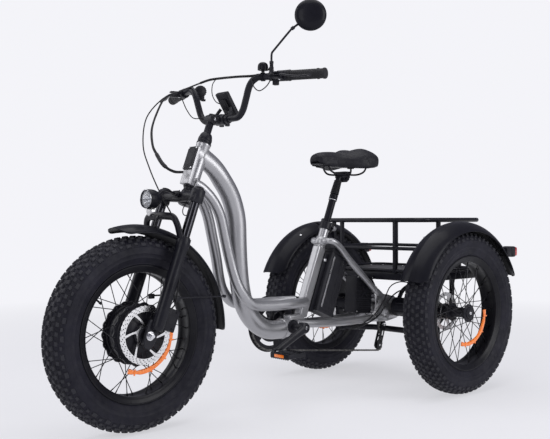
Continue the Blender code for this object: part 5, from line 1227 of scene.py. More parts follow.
def chain_and_gears():
    lower, upper = V(COG_X, 0.56, 0.14), V(COG_X, 0.59, 0.218)
    path = belt_route([(BB.y, BB.z, 0.0965, 1, RING_X), (0.56, 0.14, 0.0222, 1, COG_X),
        (0.59, 0.218, 0.0222, -1, COG_X), (REAR_Y, TYRE_R, 0.0304, 1, COG_X)], 24)
    links = resample(path, CHAIN_PITCH)
    p = Piece("chain_links", "chain", "frame", "chain")
    for i, a in enumerate(links):
        b = links[(i + 1) % len(links)]
        along = (b - a).normalized()
        gap = 0.0013 if i % 2 else 0.0021
        across = (X - along * along.x).normalized()
        for s in (1, -1):
            middle = (a + b) / 2 + across * s * gap * 1.5
            p.plate(mm((-8.4, 0), (-7.6, 3), (-4, 3.4), (0, 2.2), (4, 3.4), (7.6, 3), (8.4, 0), (7.6, -3),
                (4, -3.4), (0, -2.2), (-4, -3.4), (-7.6, -3)), 0.001, middle, across, along)
        p.rod(a - across * 0.0042, a + across * 0.0042, 0.0017, sides=8)
    p.done()
    gears = Piece("sprocket_stack", "steel", "sprockets", "cassette", angle=30)
    at = V(0, REAR_Y, TYRE_R)
    gears.lathe(mm((0, 52.4), (11.8, 52.4), (12, 44), (20, 43), (20, -43), (12, -44), (11.8, -52.4),
        (0, -52.4)), at, X, 36)
    for radius, x, teeth in ((0.047, 0.002, 24), (0.0425, -0.004, 22), (0.038, -0.01, 20),
            (0.034, -0.0155, 18), (0.031, -0.0208, 16), (0.0285, -0.0262, 14), (0.0285, -0.0305, 14)):
        outline = []
        for i in range(teeth * 4):
            a = TAU * i / (teeth * 4)
            r = radius - (0.0026, 0.0008, 0.0, 0.0008)[i % 4]
            outline.append(polar(r, a))
        gears.plate(outline, 0.0018, at + X * x, X, Y, [circle(0.0195, 24)])
    gears.done()
    d = Piece("derailleur_cage", "metal", "frame", "derailleur")
    cage = mm((603, 222), (596, 233), (583, 233), (576, 224), (549, 152), (545, 137), (550, 127),
        (562, 124), (573, 132), (577, 146))
    windows = [mm((589, 206), (583, 203), (574, 178), (580, 176)), mm((577, 170), (571, 171), (562, 152),
        (569, 152))]
    for x in (-0.0075, 0.0075):
        d.plate([(y - REAR_Y, z - 0.17) for y, z in cage], 0.0018, V(COG_X + x, REAR_Y, 0.17), X, Y,
            [[(y - REAR_Y, z - 0.17) for y, z in hole] for hole in windows], bevel=0.0004)
    lean = Matrix.Rotation(radians(10), 3, "X")
    d.box((0.014, 0.028, 0.034), V(COG_X - 0.015, 0.59, 0.226), lean, bevel=0.004, segments=3)
    d.box((0.01, 0.016, 0.028), V(COG_X - 0.014, 0.592, 0.246), lean, bevel=0.003)
    d.rod(V(COG_X - 0.018, 0.59, 0.236), V(COG_X - 0.02, 0.588, 0.262), 0.0058, sides=16)
    for hub in (lower, upper):
        d.rod(hub - X * 0.0095, hub + X * 0.0095, 0.0045, sides=14)
        teeth = [(0.0205 - (0.0032, 0.0008, 0.0, 0.0008)[i % 4], TAU * i / 44) for i in range(44)]
        d.plate([polar(r, a) for r, a in teeth], 0.0022, hub, X, Y, [circle(0.01, 16)])
        d.ring(mm((4.4, -2.5), (10.4, -2.5), (10.4, 2.5), (4.4, 2.5)), hub, X, 20)
    d.done()
    b = Piece("derailleur_bolts", "chrome", "frame")
    for hub in (lower, upper):
        b.bolt(hub + X * 0.009, X, 0.0044, 0.0022)
        b.bolt(hub - X * 0.009, -X, 0.0044, 0.0022)
    b.box((0.003, 0.02, 0.007), V(COG_X + 0.01, 0.588, 0.224), lean, bevel=0.001)
    b.done()


# ================================================================ battery, controller
def power():
    turn = basis(SEAT_UP, X)
    p = Piece("battery_case", "battery", "battery_pack", "battery")
    p.box((0.07, 0.092, 0.232), seat(0, 0.131, -0.087), turn, bevel=0.008, segments=4)
    p.box((0.072, 0.094, 0.018), seat(0, 0.253, -0.087), turn, bevel=0.005, segments=3)
    p.box((0.072, 0.094, 0.014), seat(0, 0.0215, -0.087), turn, bevel=0.004, segments=3)
    for s in (1, -1):
        for k in range(2):
            p.box((0.0024, 0.0045, 0.204), seat(s * 0.0348, 0.134, -0.1 - k * 0.02), turn, bevel=0.001)
    handle = smooth_route([seat(0, 0.26, -0.06), seat(0, 0.268, -0.068), seat(0, 0.27, -0.09),
        seat(0, 0.268, -0.112), seat(0, 0.26, -0.12)], 4)
    p.tube(handle, 0.0058, 14, oval=[(1.9, 0.8)] * len(handle))
    p.done()
    # Silver strips down the battery's sides are a painted highlight, standing in for the shine along the
    # case.
    highlight_strips = Piece("battery_painted_highlight_strips", "alloy", "battery_pack")
    for s in (1, -1):
        highlight_strips.box((0.0026, 0.007, 0.196), seat(s * 0.0346, 0.132, -0.058), turn, bevel=0.0011)
    highlight_strips.done()
    lamp = Piece("battery_charge_lights", "glass", "battery_pack")
    for k in range(4):
        lamp.rod(seat(0.0348, 0.212 + k * 0.008, -0.108), seat(0.0358, 0.212 + k * 0.008, -0.108), 0.0018,
            sides=10, edge=0.0003)
    lamp.done()
    rail = Piece("battery_dock", "plastic", "frame", "battery_rail")
    rail.box((0.036, 0.018, 0.226), seat(0, 0.12, -0.03), turn, bevel=0.003)
    rail.box((0.03, 0.012, 0.018), seat(0, 0.014, -0.036), turn, bevel=0.003)
    rail.done()
    lock = Piece("battery_lock", "chrome", "frame")
    lock.lathe(mm((0, 3), (3, 3), (3.4, 1.8), (6, 2.2), (7.2, 0)), seat(0.018, 0.205, -0.03), X, 20)
    lock.done()
    turn = Matrix.Rotation(radians(-4), 3, "X")
    c = Piece("controller_case", "plastic", "frame", "controller_box")
    at = V(0, 0.408, 0.358)
    c.box((0.058, 0.094, 0.144), at, turn, bevel=0.005, segments=3)
    for s in (1, -1):
        for k in range(9):
            c.box((0.0044, 0.091, 0.004), at + turn @ V(s * 0.0298, 0, (k - 4) * 0.015), turn, bevel=0.001,
                segments=1)
        for a, b, ang in ((0.0, 0.03, 35), (0.0, 0.03, -35), (0.0, -0.034, 90)):
            c.box((0.0056, 0.006, 0.062), at + turn @ V(s * 0.03, a, b * 0.4),
                turn @ Matrix.Rotation(radians(ang), 3, "X"), bevel=0.0014)
        c.box((0.0052, 0.096, 0.006), at + turn @ V(s * 0.03, 0, 0.07), turn, bevel=0.0014)
        c.box((0.0052, 0.096, 0.006), at + turn @ V(s * 0.03, 0, -0.07), turn, bevel=0.0014)
    c.done()
    b = Piece("controller_screws", "steel", "frame")
    for s in (1, -1):
        for yy in (-0.042, 0.042):
            for zz in (-0.066, 0.066):
                b.bolt(at + turn @ V(s * 0.0322, yy, zz), X * s, 0.003, 0.0018)
    b.done()


# ================================================================ seat
def seat_parts():
    p = Piece("seat_post_tube", "gloss", "seat_post", "seatpost", slot="black_metal")
    p.lathe(mm((11.6, 330), (11.6, 457), (15, 457.5), (15.8, 456), (15.8, 438), (15, 436.5), (13.6, 436),
        (13.6, 81.5), (12.8, 80), (0, 80)), SEAT_BASE, SEAT_UP, 40)
    p.done()
    ring = Piece("seat_post_ring", "alloy", "seat_post")
    ring.sleeve(seat(0, 0.4345, 0), seat(0, 0.4375, 0), 0.0163, 0.0137, 36, 0.0006)
    ring.done()
    boot = Piece("seat_boot", "rubber", "seat")
    rows = 9
    profile = [(0.011, 0.459)]
    for k in range(rows):
        u = BOOT_LOW + (BOOT_HIGH - BOOT_LOW) * k / rows
        r = 0.0166 - 0.0022 * k / rows
        step = (BOOT_HIGH - BOOT_LOW) / rows
        profile += [(r - 0.0022, u), (r, u + step * 0.35), (r, u + step * 0.65),
            (r - 0.0022, u + step * 0.98)]
    profile += [(0.0118, 0.5165), (0.0109, 0.5165)]
    boot.lathe(profile, SEAT_BASE, SEAT_UP, 32)
    bellows = boot.loose()
    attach(bellows, "seat_post")
    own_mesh(bellows)
    h = Piece("seat_clamp_head", "metal", "seat", "seat_head")
    h.rod(seat(0, 0.38, 0), seat(0, 0.535, 0), 0.0109, sides=32)
    h.box((0.044, 0.04, 0.01), V(0, 0.318, 0.812), bevel=0.003, segments=3)
    h.box((0.06, 0.038, 0.009), V(0, 0.318, 0.8275), bevel=0.003, segments=3)
    h.rod(V(-0.02, 0.318, 0.804), V(0.02, 0.318, 0.804), 0.0125, sides=28)
    for s in (1, -1):
        h.bolt(V(s * 0.0245, 0.318, 0.8035), X * s, 0.007, 0.005, True)
    h.rod(V(-0.026, 0.318, 0.804), V(0.026, 0.318, 0.804), 0.004, sides=12)
    h.done()
    r = Piece("saddle_rails", "metal", "seat", slot="steel")
    for s in (1, -1):
        r.tube(smooth_route([(s * 0.012, 0.226, 0.858), (s * 0.0155, 0.232, 0.836),
            (s * 0.022, 0.262, 0.821), (s * 0.022, 0.318, 0.82), (s * 0.024, 0.372, 0.821),
            (s * 0.034, 0.402, 0.833), (s * 0.042, 0.412, 0.858)], 6), 0.0036, 12)
    r.done()
    saddle()


SADDLE = mm((160, 12, 868, 871, 880), (164, 23, 860, 866, 887), (172, 31.5, 854, 862, 892.5),
    (188, 38, 849, 859, 897), (210, 42, 846, 857, 899), (235, 47.5, 844, 856, 900),
    (265, 62, 842, 856, 899), (295, 81, 841, 856, 901.5), (325, 98.5, 840, 857, 906),
    (355, 109.5, 841, 858, 911), (380, 113, 844, 860, 912.5), (402, 109, 849, 863, 911),
    (417, 99, 855, 866, 906), (427, 86, 862, 870, 899), (434, 66, 871, 875, 890))


def saddle_surface(y, t):
    """A point of the saddle's cover: y along it, t round its section."""
    for a, b in zip(SADDLE, SADDLE[1:]):
        if y <= b[0] or b is SADDLE[-1]:
            f = min(1.0, max(0.0, (y - a[0]) / (b[0] - a[0])))
            half, skirt, recess, high = (a[k] + (b[k] - a[k]) * f for k in (1, 2, 3, 4))
            break
    c, s = cos(t), sin(t)
    middle = skirt + (high - skirt) * 0.42
    if s <= 0:
        x = half * math.copysign(abs(c) ** 0.72, c)
        turn = min(1.0, -s / 0.42)
        back = min(1.0, max(0.0, (-s - 0.5) / 0.3))
        rise = (recess - skirt) * back * back * (3 - 2 * back)
        z = middle - (middle - skirt) * (turn * (2 - turn)) + rise
        return x, z
    x = half * math.copysign(abs(c) ** 0.8, c)
    z = middle + (high - middle) * s ** 0.9
    lobe = exp(-((abs(x) - 0.058) / 0.036) ** 2) * exp(-((y - 0.37) / 0.052) ** 2)
    nose = exp(-(x / 0.03) ** 2) * exp(-((y - 0.205) / 0.04) ** 2)
    groove = exp(-(x / 0.015) ** 2) / (1 + exp(-(y - 0.3) / 0.01))
    return x, z + s * (0.0075 * lobe + 0.002 * nose - 0.0075 * groove)


def saddle():
    """Padded cover: lofted, swollen by a cloth simulation, then seamed."""
    p = Piece("saddle_cover", "saddle", "seat", "saddle", angle=60)
    rows, count = 58, 64
    grid, verts = [], []
    for i in range(rows + 1):
        y = SADDLE_FRONT + SADDLE_LENGTH * i / rows
        grid.append(list(range(len(verts), len(verts) + count)))
        for k in range(count):
            x, z = saddle_surface(y, TAU * k / count)
            verts.append(V(x, y, z))
    faces = []
    for a, b in zip(grid, grid[1:]):
        for k in range(count):
            m = (k + 1) % count
            faces.append((a[k], b[k], b[m], a[m]))
    for row, bulge in ((grid[0], -0.0016), (grid[-1], 0.0016)):
        centre = sum((verts[i] for i in row), V(0, 0, 0)) / count
        verts.append(centre + V(0, bulge, 0))
        for k in range(count):
            faces.append((row[k], row[(k + 1) % count], len(verts) - 1))
    p.add(verts, faces)
    obj = p.loose()
    inflate(obj)
    for v in obj.data.vertices:
        seam(v)
    obj.data.update()
    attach(obj, "seat")
    b = Piece("saddle_shell", "plastic", "seat")
    along = [0.164 + 0.264 * i / 24 for i in range(25)]
    edge = [(saddle_surface(y, 0)[0] * 0.8, y - 0.3) for y in along]
    b.plate(edge + [(-x, y) for x, y in reversed(edge)], 0.005, V(0, 0.3, 0.856), Z, X, bevel=0.0016)
    for s in (1, -1):
        b.box((0.02, 0.022, 0.012), V(s * 0.042, 0.411, 0.854), bevel=0.003)
    b.box((0.044, 0.022, 0.01), V(0, 0.227, 0.853), bevel=0.003)
    b.done()


def seam(vertex):
    """Presses the cover's sewn lines into it."""
    x, y, z = vertex.co
    if z < 0.88:
        return
    across = (y - (0.268 + 0.3 * abs(x))) / 0.0042
    vertex.co.z -= 0.003 * exp(-across ** 2) * (1 if abs(x) < 0.085 else 0)


def inflate(obj):
    """Swells the cover with a short cloth simulation and keeps the result."""
    remesh = obj.modifiers.new("voxels", "REMESH")
    remesh.mode = "VOXEL"
    remesh.voxel_size = VOXEL
    remesh.use_smooth_shade = True
    apply_modifiers(obj)
    before = [v.co.copy() for v in obj.data.vertices]
    group = obj.vertex_groups.new(name="pinned")
    group.add([v.index for v in obj.data.vertices if v.co.z < PINNED_BELOW], 1.0, "REPLACE")
    cloth = obj.modifiers.new("cloth", "CLOTH")
    cloth.settings.quality = 5
    cloth.settings.mass = 0.3
    cloth.settings.use_pressure = True
    cloth.settings.uniform_pressure_force = 4.0
    cloth.settings.tension_stiffness = 20
    cloth.settings.compression_stiffness = 20
    cloth.settings.bending_stiffness = 1.5
    cloth.settings.effector_weights.gravity = 0.0
    cloth.settings.vertex_group_mass = "pinned"
    cloth.point_cache.frame_start = 1
    cloth.point_cache.frame_end = CLOTH_FRAMES
    scene = bpy.context.scene
    for number in range(1, CLOTH_FRAMES + 1):
        scene.frame_set(number)
    apply_modifiers(obj)
    scene.frame_set(1)
    for v, start in zip(obj.data.vertices, before):
        move = v.co - start
        if move.length > SWELL_LIMIT:
            v.co = start + move.normalized() * SWELL_LIMIT
    obj.vertex_groups.clear()
    fine = obj.modifiers.new("fine", "SUBSURF")
    fine.levels = 1
    fine.render_levels = 1
    apply_modifiers(obj)
    obj.data.shade_smooth()


def apply_modifiers(obj):
    graph = bpy.context.evaluated_depsgraph_get()
    mesh = bpy.data.meshes.new_from_object(obj.evaluated_get(graph), preserve_all_data_layers=True,
        depsgraph=graph)
    obj.modifiers.clear()
    old = obj.data
    obj.data = mesh
    if not mesh.materials:
        mesh.materials.append(old.materials[0])


# ================================================================ cockpit
def cockpit():
    half = [V(0.0, BAR_Y, BAR_Z), V(0.06, BAR_Y, BAR_Z), V(0.088, BAR_Y, BAR_Z + 0.003),
        V(0.11, BAR_Y, BAR_Z + 0.022), V(0.125, BAR_Y, BAR_Z + 0.055), V(0.139, BAR_Y, BAR_Z + 0.09),
        V(0.153, BAR_Y + 0.002, BAR_Z + 0.11)]
    half += [bar_at(0.174), bar_at(0.394)]
    route = [flip(p, -1) for p in reversed(half[1:])] + half
    p = Piece("handlebar_tube", "metal", "steering", "handlebar", angle=60)
    path = smooth_route(route[1:-1], 8)
    p.tube([route[0]] + path + [route[-1]], BAR_R, 28)
    p.done()

    s = Piece("stem_column", "metal", "steering", "stem")
    s.lathe(mm((0, 85), (10.5, 85), (10.5, 160.5), (21.5, 160.5), (23.2, 162), (23.2, 166), (22.6, 167.2),
        (23.6, 169), (23.2, 174), (20, 187), (16.5, 193), (13.2, 194.5), (12.5, 196), (12.5, 262),
        (11, 263), (0, 263)), HEAD_BASE, UP, 40)
    top = steer(0, 0.246, 0)
    clamp = V(0, BAR_Y, BAR_Z)
    s.tube(smooth_route([top, (top + clamp) / 2, clamp], 5), 0.015, 24)
    s.rod(V(-0.019, top.y, top.z), V(0.019, top.y, top.z), 0.0165, sides=32, edge=0.002)
    s.sleeve(V(-0.024, BAR_Y, BAR_Z), V(0.024, BAR_Y, BAR_Z), 0.0183, 0.0112, 36, 0.0018)
    for x in (-0.015, 0.015):
        s.box((0.012, 0.014, 0.044), V(x, BAR_Y + 0.013, BAR_Z), bevel=0.003)
    s.done()
    b = Piece("stem_bolts", "chrome", "steering")
    for x in (-0.015, 0.015):
        for z in (0.016, -0.016):
            b.bolt(V(x, BAR_Y + 0.0195, BAR_Z + z), Y, 0.004, 0.003)
    b.bolt(V(0.0185, top.y, top.z), X, 0.006, 0.0034, True)
    b.bolt(V(-0.0185, top.y, top.z), -X, 0.006, 0.0034, True)
    b.done()

    for side in (1, -1):
        grip(side)
        lever(side)
    display()
    headlight()
    bell()
    mirror()


def grip(side):
    """Ribbed rubber grip with a smooth palm pad and collars."""
    tag = TAG[side]
    p = Piece("grip_rubber_" + tag, "rubber", "steering", "grip_" + tag)
    length = (GRIP_END - GRIP_START).length
    profile = mm((11.4, 24), (17.4, 24), (18, 25), (18, 29), (17.2, 31), (15, 33))
    s = 0.0345
    while s < length - 0.034:
        profile += [(0.0153, s), (0.0159, s + 0.0009), (0.0159, s + 0.0042), (0.0153, s + 0.0051)]
        s += 0.006
    profile += [(0.0152, length - 0.03), (0.0172, length - 0.029), (0.0172, length - 0.024),
        (0.0155, length - 0.022), (0.0155, length - 0.01), (0.0172, length - 0.008),
        (0.0174, length - 0.003), (0.016, length - 0.0004), (0.0, length)]
    p.lathe(profile, flip(GRIP_START, side), flip(GRIP_AXIS, side), 40)
    p.done()


def gear_pod(p, start, axis, ahead, turn):
    """Thumb shifter: a ribbed drum behind the bar with its lever below."""
    pod = start - axis * 0.084 - ahead * 0.034 - Z * 0.004
    p.lathe(mm((0, -15), (15, -15), (18.5, -12.5), (19.5, -8), (19.5, 8), (18.5, 12.5), (15, 15), (0, 15)),
        pod, axis, 36)
    for a in turns(18):
        radial = turn @ V(cos(a), sin(a), 0)
        p.box((0.0022, 0.003, 0.02), pod + radial * 0.0198, basis(axis, radial), bevel=0.0007, segments=1)
    p.box((0.026, 0.018, 0.022), pod - Z * 0.018 - ahead * 0.004, turn, bevel=0.006, segments=3)
    p.tube(smooth_route([pod - Z * 0.024, pod - Z * 0.03 - ahead * 0.006, pod - Z * 0.03 - ahead * 0.018],
        4), 0.005, 12, oval=[(1.3, 0.7)] * 9)
    p.box((0.012, 0.028, 0.064), start - axis * 0.044 - ahead * 0.012, turn, bevel=0.003)


def lever(side):
    tag = TAG[side]
    start, axis = flip(GRIP_START, side), flip(GRIP_AXIS, side)
    ahead = Z.cross(axis) * -side
    drop = V(0, 0, -0.004)
    turn = basis(axis, Z)
    p = Piece("lever_housing_" + tag, "plastic", "steering", "lever_clamp_" + tag)
    p.sleeve(start - axis * 0.016, start + axis * 0.011, 0.0173, 0.0113, 32, 0.0014)
    hinge = start + ahead * 0.044 + drop - axis * 0.004
    p.box((0.02, 0.02, 0.022), start + ahead * 0.022 + drop, turn, bevel=0.003, segments=3)
    for s in (1, -1):
        p.box((0.0046, 0.034, 0.02), start + ahead * 0.035 + drop + Z * s * 0.008, turn, bevel=0.0016)
    p.rod(start + ahead * 0.036 + drop - axis * 0.028, start + ahead * 0.036 + drop - axis * 0.008, 0.0052,
        sides=20)
    for k in range(4):
        at = start + ahead * 0.036 + drop - axis * (0.014 + 0.003 * k)
        p.ring(mm((5, 0), (6.6, 0.3), (6.6, 1.7), (5, 2)), at, axis, 20)
    if side < 0:
        gear_pod(p, start, axis, ahead, turn)
    p.done()
    b = Piece("lever_screws_" + tag, "chrome", "steering")
    b.bolt(hinge + Z * 0.0102, Z, 0.0034, 0.002)
    b.bolt(start + ahead * 0.018 - Z * 0.0135, -Z, 0.0034, 0.002)
    b.done()
    blade = Piece("lever_blade_" + tag, "metal", "lever_" + tag, "brake_lever_" + tag)
    blade_points = [(0.044, -0.004, 1), (0.047, 0.01, 1), (0.049, 0.024, 1), (0.05, 0.044, 2),
        (0.049, 0.075, 3), (0.051, 0.11, 3), (0.054, 0.122, 3)]
    route = smooth_route([start + ahead * f + axis * u + drop * low for f, u, low in blade_points], 5)
    radii = interpolate([0.0036, 0.004, 0.004, 0.0042, 0.0044, 0.004, 0.0052], 5)
    blade.tube(route, radii, 14, oval=[(0.7, 1.25)] * len(route))
    blade.done()
    if side > 0:
        sw = Piece("switch_box", "plastic", "steering")
        sw.sleeve(start + axis * 0.012, start + axis * 0.023, 0.0176, 0.0113, 30, 0.0012)
        sw.box((0.02, 0.016, 0.018), start - axis * 0.025 - ahead * 0.006 - Z * 0.018, turn, bevel=0.003)
        sw.box((0.012, 0.013, 0.012), start - axis * 0.025 - ahead * 0.003 - Z * 0.011, turn, bevel=0.002)
        sw.done()
        button = Piece("switch_button", "alloy", "steering")
        spot = start - axis * 0.025
        button.rod(spot - ahead * 0.012 - Z * 0.018, spot - ahead * 0.0165 - Z * 0.018, 0.0042, sides=16)
        button.done()


def display():
    turn = Matrix.Rotation(radians(-56), 3, "X")
    at = V(0, -0.256, 1.04)
    p = Piece("display_case", "plastic", "steering", "display")
    p.box((0.058, 0.086, 0.0165), at, turn, bevel=0.005, segments=4)
    for s in (1, -1):
        p.sleeve(V(s * 0.034 - 0.0065, BAR_Y, BAR_Z), V(s * 0.034 + 0.0065, BAR_Y, BAR_Z), 0.015, 0.0113,
            32, 0.001)
        p.tube(smooth_route([V(s * 0.034, -0.278, 0.998), V(s * 0.033, -0.268, 1.012),
            V(s * 0.026, -0.262, 1.024)], 4), 0.0056, 12)
    p.box((0.03, 0.044, 0.01), at + turn @ V(0, 0, -0.011), turn, bevel=0.003)
    p.done()
    g = Piece("display_screen", "screen", "steering")
    g.box((0.05, 0.066, 0.0016), at + turn @ V(0, 0.006, 0.0084), turn, bevel=0.0007)
    g.done()
    b = Piece("display_buttons", "rubber", "steering")
    for k in (-1, 0, 1):
        b.box((0.011, 0.006, 0.0022), at + turn @ V(k * 0.015, -0.035, 0.0088), turn, bevel=0.0009)
    b.done()
    s = Piece("display_screw", "chrome", "steering")
    s.bolt(at + turn @ V(0, 0.026, -0.0082), turn @ V(0, 0, -1), 0.003, 0.0018)
    s.bolt(V(0.034, BAR_Y + 0.015, BAR_Z), Y, 0.0028, 0.0024)
    s.done()


def headlight():
    at = V(0, -0.56, 0.714)
    fwd = V(0, -1, 0)
    p = Piece("headlight_case", "gloss", "steering", "headlight", slot="black_plastic")
    p.lathe(mm((0, -27), (10, -26.5), (15, -24.5), (21, -20), (26.5, -12), (30, -3), (31.2, 6), (31.5, 15),
        (31.5, 23.5), (30.5, 26.2), (28.5, 26.2), (27.5, 24.5), (27.5, 14)), at, fwd, 48)
    for k in range(5):
        p.ring([(0.02, 0), (0.0272 - 0.0022 * k, 0.0003), (0.0272 - 0.0022 * k, 0.0014), (0.018, 0.0016)],
            at - fwd * (0.0105 + 0.003 * k), fwd, 36)
    arm = smooth_route([(0, -0.54, 0.73), (0, -0.52, 0.742), (0, -0.496, 0.74), steer(0, -0.041, 0.0495)],
        5)
    p.tube(arm, 0.0065, 14, oval=[(1.5, 0.62)] * len(arm))
    p.box((0.034, 0.026, 0.004), steer(0, -0.041, 0.048), basis(AHEAD, X), bevel=0.001)
    p.box((0.012, 0.01, 0.034), V(0, -0.562, 0.692), bevel=0.002)
    p.done()
    r = Piece("headlight_reflector", "chrome", "steering", slot="silver")
    r.lathe(mm((0, -8), (6, -7), (13, -3), (20, 5), (25, 15), (27.4, 22.2), (29, 22.2), (29, 26.2),
        (30, 26.8), (30.8, 26.2)), at, fwd, 48)
    for a in turns(12):
        tip = at + fwd * 0.02 + V(0.0262 * cos(a), 0, 0.0262 * sin(a))
        r.tube([at + fwd * 0.004 + V(0.008 * cos(a), 0, 0.008 * sin(a)), tip], [0.0008, 0.0014], 6)
    r.rod(at - fwd * 0.006, at + fwd * 0.008, 0.0042, 0.003, sides=16)
    r.done()
    g = Piece("headlight_lens", "glass", "steering", slot="silver")
    g.lathe(mm((0, 26.2), (15, 25.2), (25, 22.8), (27.8, 21), (27.8, 19.6), (25, 21.2), (15, 23.6),
        (0, 24.6)), at, fwd, 48)
    g.done()
    h = Piece("horn_grille", "steel", "steering", slot="silver")
    at = V(0, -0.574, 0.676)
    h.lathe(mm((0, 1), (10, 0.8), (12.5, 0), (14, -1), (14.5, -3), (14.5, -13), (12, -14.2), (0, -14.2)),
        at, fwd, 32)
    for k in range(-3, 4):
        w = sqrt(max(0.0, 0.0115 ** 2 - (k * 0.0032) ** 2))
        h.box((2 * w, 0.0012, 0.0011), at + fwd * 0.0014 + Z * k * 0.0032, bevel=0)
    h.done()


def bell():
    c = bar_at(0.193)
    p = Piece("bell_dome", "gloss", "steering", "bell", slot="black_metal")
    p.lathe(mm((0, 47), (5, 46.6), (10, 45), (14, 41.5), (16.2, 37), (17, 31), (17, 24), (17.4, 22.5),
        (16.6, 21.5), (15, 22.5), (6, 23.5), (5.2, 15), (0, 15)), c, Z, 36)
    p.sleeve(c - GRIP_AXIS * 0.006, c + GRIP_AXIS * 0.006, 0.0142, 0.0112, 28, 0.001)
    p.tube([c + V(0.002, 0.01, 0.021), c + V(0.004, 0.02, 0.024), c + V(0.006, 0.024, 0.03)],
        [0.0022, 0.0024, 0.0034], 10)
    p.done()
    b = Piece("bell_screw", "chrome", "steering")
    b.bolt(c + Z * 0.0462, Z, 0.0028, 0.0016)
    b.done()


def mirror():
    foot = bar_at(0.222)
    m = Piece("mirror_band", "metal", "steering", "mirror_clamp")
    m.sleeve(foot - GRIP_AXIS * 0.0062, foot + GRIP_AXIS * 0.0062, 0.015, 0.0112, 28, 0.001)
    m.lathe(mm((0, 12), (8.8, 12), (8.8, 15), (7.5, 16), (7.5, 20.5), (6.8, 21.2), (0, 21.2)), foot, Z, 28)
    m.done()
    k = Piece("mirror_stalk_rod", "metal", "mirror_arm", "mirror_stalk")
    k.lathe(mm((0, 21.5), (6.6, 21.5), (7.2, 22.5), (7.2, 30), (6, 31.2), (6, 40), (6.8, 41), (6.8, 48),
        (5, 49), (0, 49)), foot, Z, 6)
    k.tube(smooth_route([foot + Z * 0.04, foot + Z * 0.062, foot + V(0.001, 0.001, 0.074),
        foot + V(0.006, 0.006, 0.084), MIRROR_BALL - MIRROR_ARM * 0.012, MIRROR_BALL - MIRROR_ARM * 0.004],
        6), 0.0034, 16)
    k.rod(MIRROR_BALL - MIRROR_ARM * 0.011, MIRROR_BALL - MIRROR_ARM * 0.0002, 0.0058, sides=24)
    k.done()
    towards = V(-0.55, 0.82, 0.12)
    face = (towards - MIRROR_ARM * towards.dot(MIRROR_ARM)).normalized()
    centre = MIRROR_CENTRE + MIRROR_ARM * 0.012
    h = Piece("mirror_housing", "gloss", "mirror", "mirror_head", slot="black_plastic")
    h.lathe(mm((48, 4.6), (48.4, 6), (50, 6), (51, 4.6), (51, 2), (50.2, -0.6), (48, -4.8), (44, -8.5),
        (37, -12), (26, -14.2), (13, -15.2), (0, -15.5)), centre, face, 64)
    h.rod(MIRROR_BALL + MIRROR_ARM * 0.0003, MIRROR_CENTRE - MIRROR_ARM * 0.03, 0.0035, sides=16)
    h.done()
    g = Piece("mirror_face", "mirror", "mirror")
    g.lathe(mm((0, 6.2), (30, 6), (48.4, 5), (48.4, 3), (0, 3.4)), centre, face, 64)
    g.done()


# ================================================================ cables
def line(name, points, radius, body):
    """A single cable or wire along smooth curves."""
    p = Piece(name, "rubber", body)
    p.tube(smooth_route(points, 6), radius, 10)
    return p


def cables():
    b = Piece("cable_bundle_front", "rubber", "steering", "front_cables")
    path = smooth_route(mm((-205, -315, 1096), (-207, -364, 1072), (-198, -408, 1008), (-175, -442, 952),
        (-135, -465, 897), (-100, -472, 862), (-60, -474, 827), (-25, -460, 806), (0, -441.5, 802.6)), 9)
    for k in range(3):
        turns = [TAU * k / 3 + i * 0.11 for i in range(len(path))]
        b.tube([q + V(0.0026 * cos(a), 0.0015 * sin(a), 0.0024 * sin(a)) for q, a in zip(path, turns)],
            0.0024, 9)
    sleeve = path[43:58]
    b.tube(sleeve, [0.0044, 0.0062] + [0.0066] * (len(sleeve) - 4) + [0.0062, 0.0044], 14)
    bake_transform(b.loose())

    hose = line("hose_front_brake", mm((-222, -300, 1098), (-236, -352, 1074), (-222, -430, 1000),
        (-170, -480, 900), (-105, -500, 820), (-30, -510, 735), (30, -500, 650), (62, -505, 580),
        (90, -520, 500), (104, -540, 440), (90, -540, 392), (62, -537, 372)), 0.0022, "steering")
    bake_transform(hose.loose())
    line("wire_headlight", mm((4, -458, 744), (14, -488, 726), (20, -512, 716), (12, -536, 714)), 0.0016,
        "steering").done()
    line("wire_under_crown", mm((30, -452, 706), (36, -470, 680), (50, -474, 664), (66, -462, 668),
        (76, -446, 690)), 0.0016, "steering").done()
    loom = Piece("bar_loom", "rubber", "steering")
    path = smooth_route(mm((-230, -286, 1106), (-170, -287, 1112), (-118.5, -288, 1118),
        (-52.2, -289, 1124), (17.1, -289, 1121.5), (94.1, -288, 1116.5), (153.5, -284, 1111.5),
        (190, -278, 1111)), 12)
    loom.tube(path, 0.0028, 10)
    for before, at, after in list(zip(path, path[1:], path[2:]))[26:-4]:
        loom.ring(mm((2.7, -1.1), (4.2, -0.6), (4.2, 0.6), (2.7, 1.1)), at, after - before, 12)
    loom.done()
    line("wire_display", mm((-20, -289, 1122), (-34, -292, 1104), (-38, -290, 1074), (-26, -284, 1048),
        (-6, -272, 1036)), 0.0016, "steering").done()
    line("wire_left_lever", mm((246, -280, 1092), (236, -292, 1068), (212, -300, 1056), (182, -296, 1072),
        (160, -288, 1102)), 0.0018, "steering").done()
    line("wire_right_lever", mm((-215, -292, 1092), (-190, -300, 1066), (-165, -300, 1030),
        (-130, -298, 1000), (-70, -292, 998)), 0.0018, "steering").done()
    r = Piece("rear_cable_pair", "rubber", "frame", "rear_cables")
    r.tube(smooth_route(mm((62, 300, 236), (62, 370, 245), (66, 450, 275), (74, 500, 330), (90, 535, 362),
        (120, 550, 372), (160, 560, 364), (200, 565, 345)), 6), 0.0028, 10)
    r.tube(smooth_route(mm((58, 300, 240), (60, 370, 252), (66, 440, 290), (72, 480, 340), (80, 505, 385),
        (110, 525, 404), (150, 540, 402)), 6), 0.0022, 10)
    r.done()


# ================================================================ stage
BACKDROP = (0.905, 0.905, 0.945)
AMBIENT = (0.21, 0.21, 0.25)


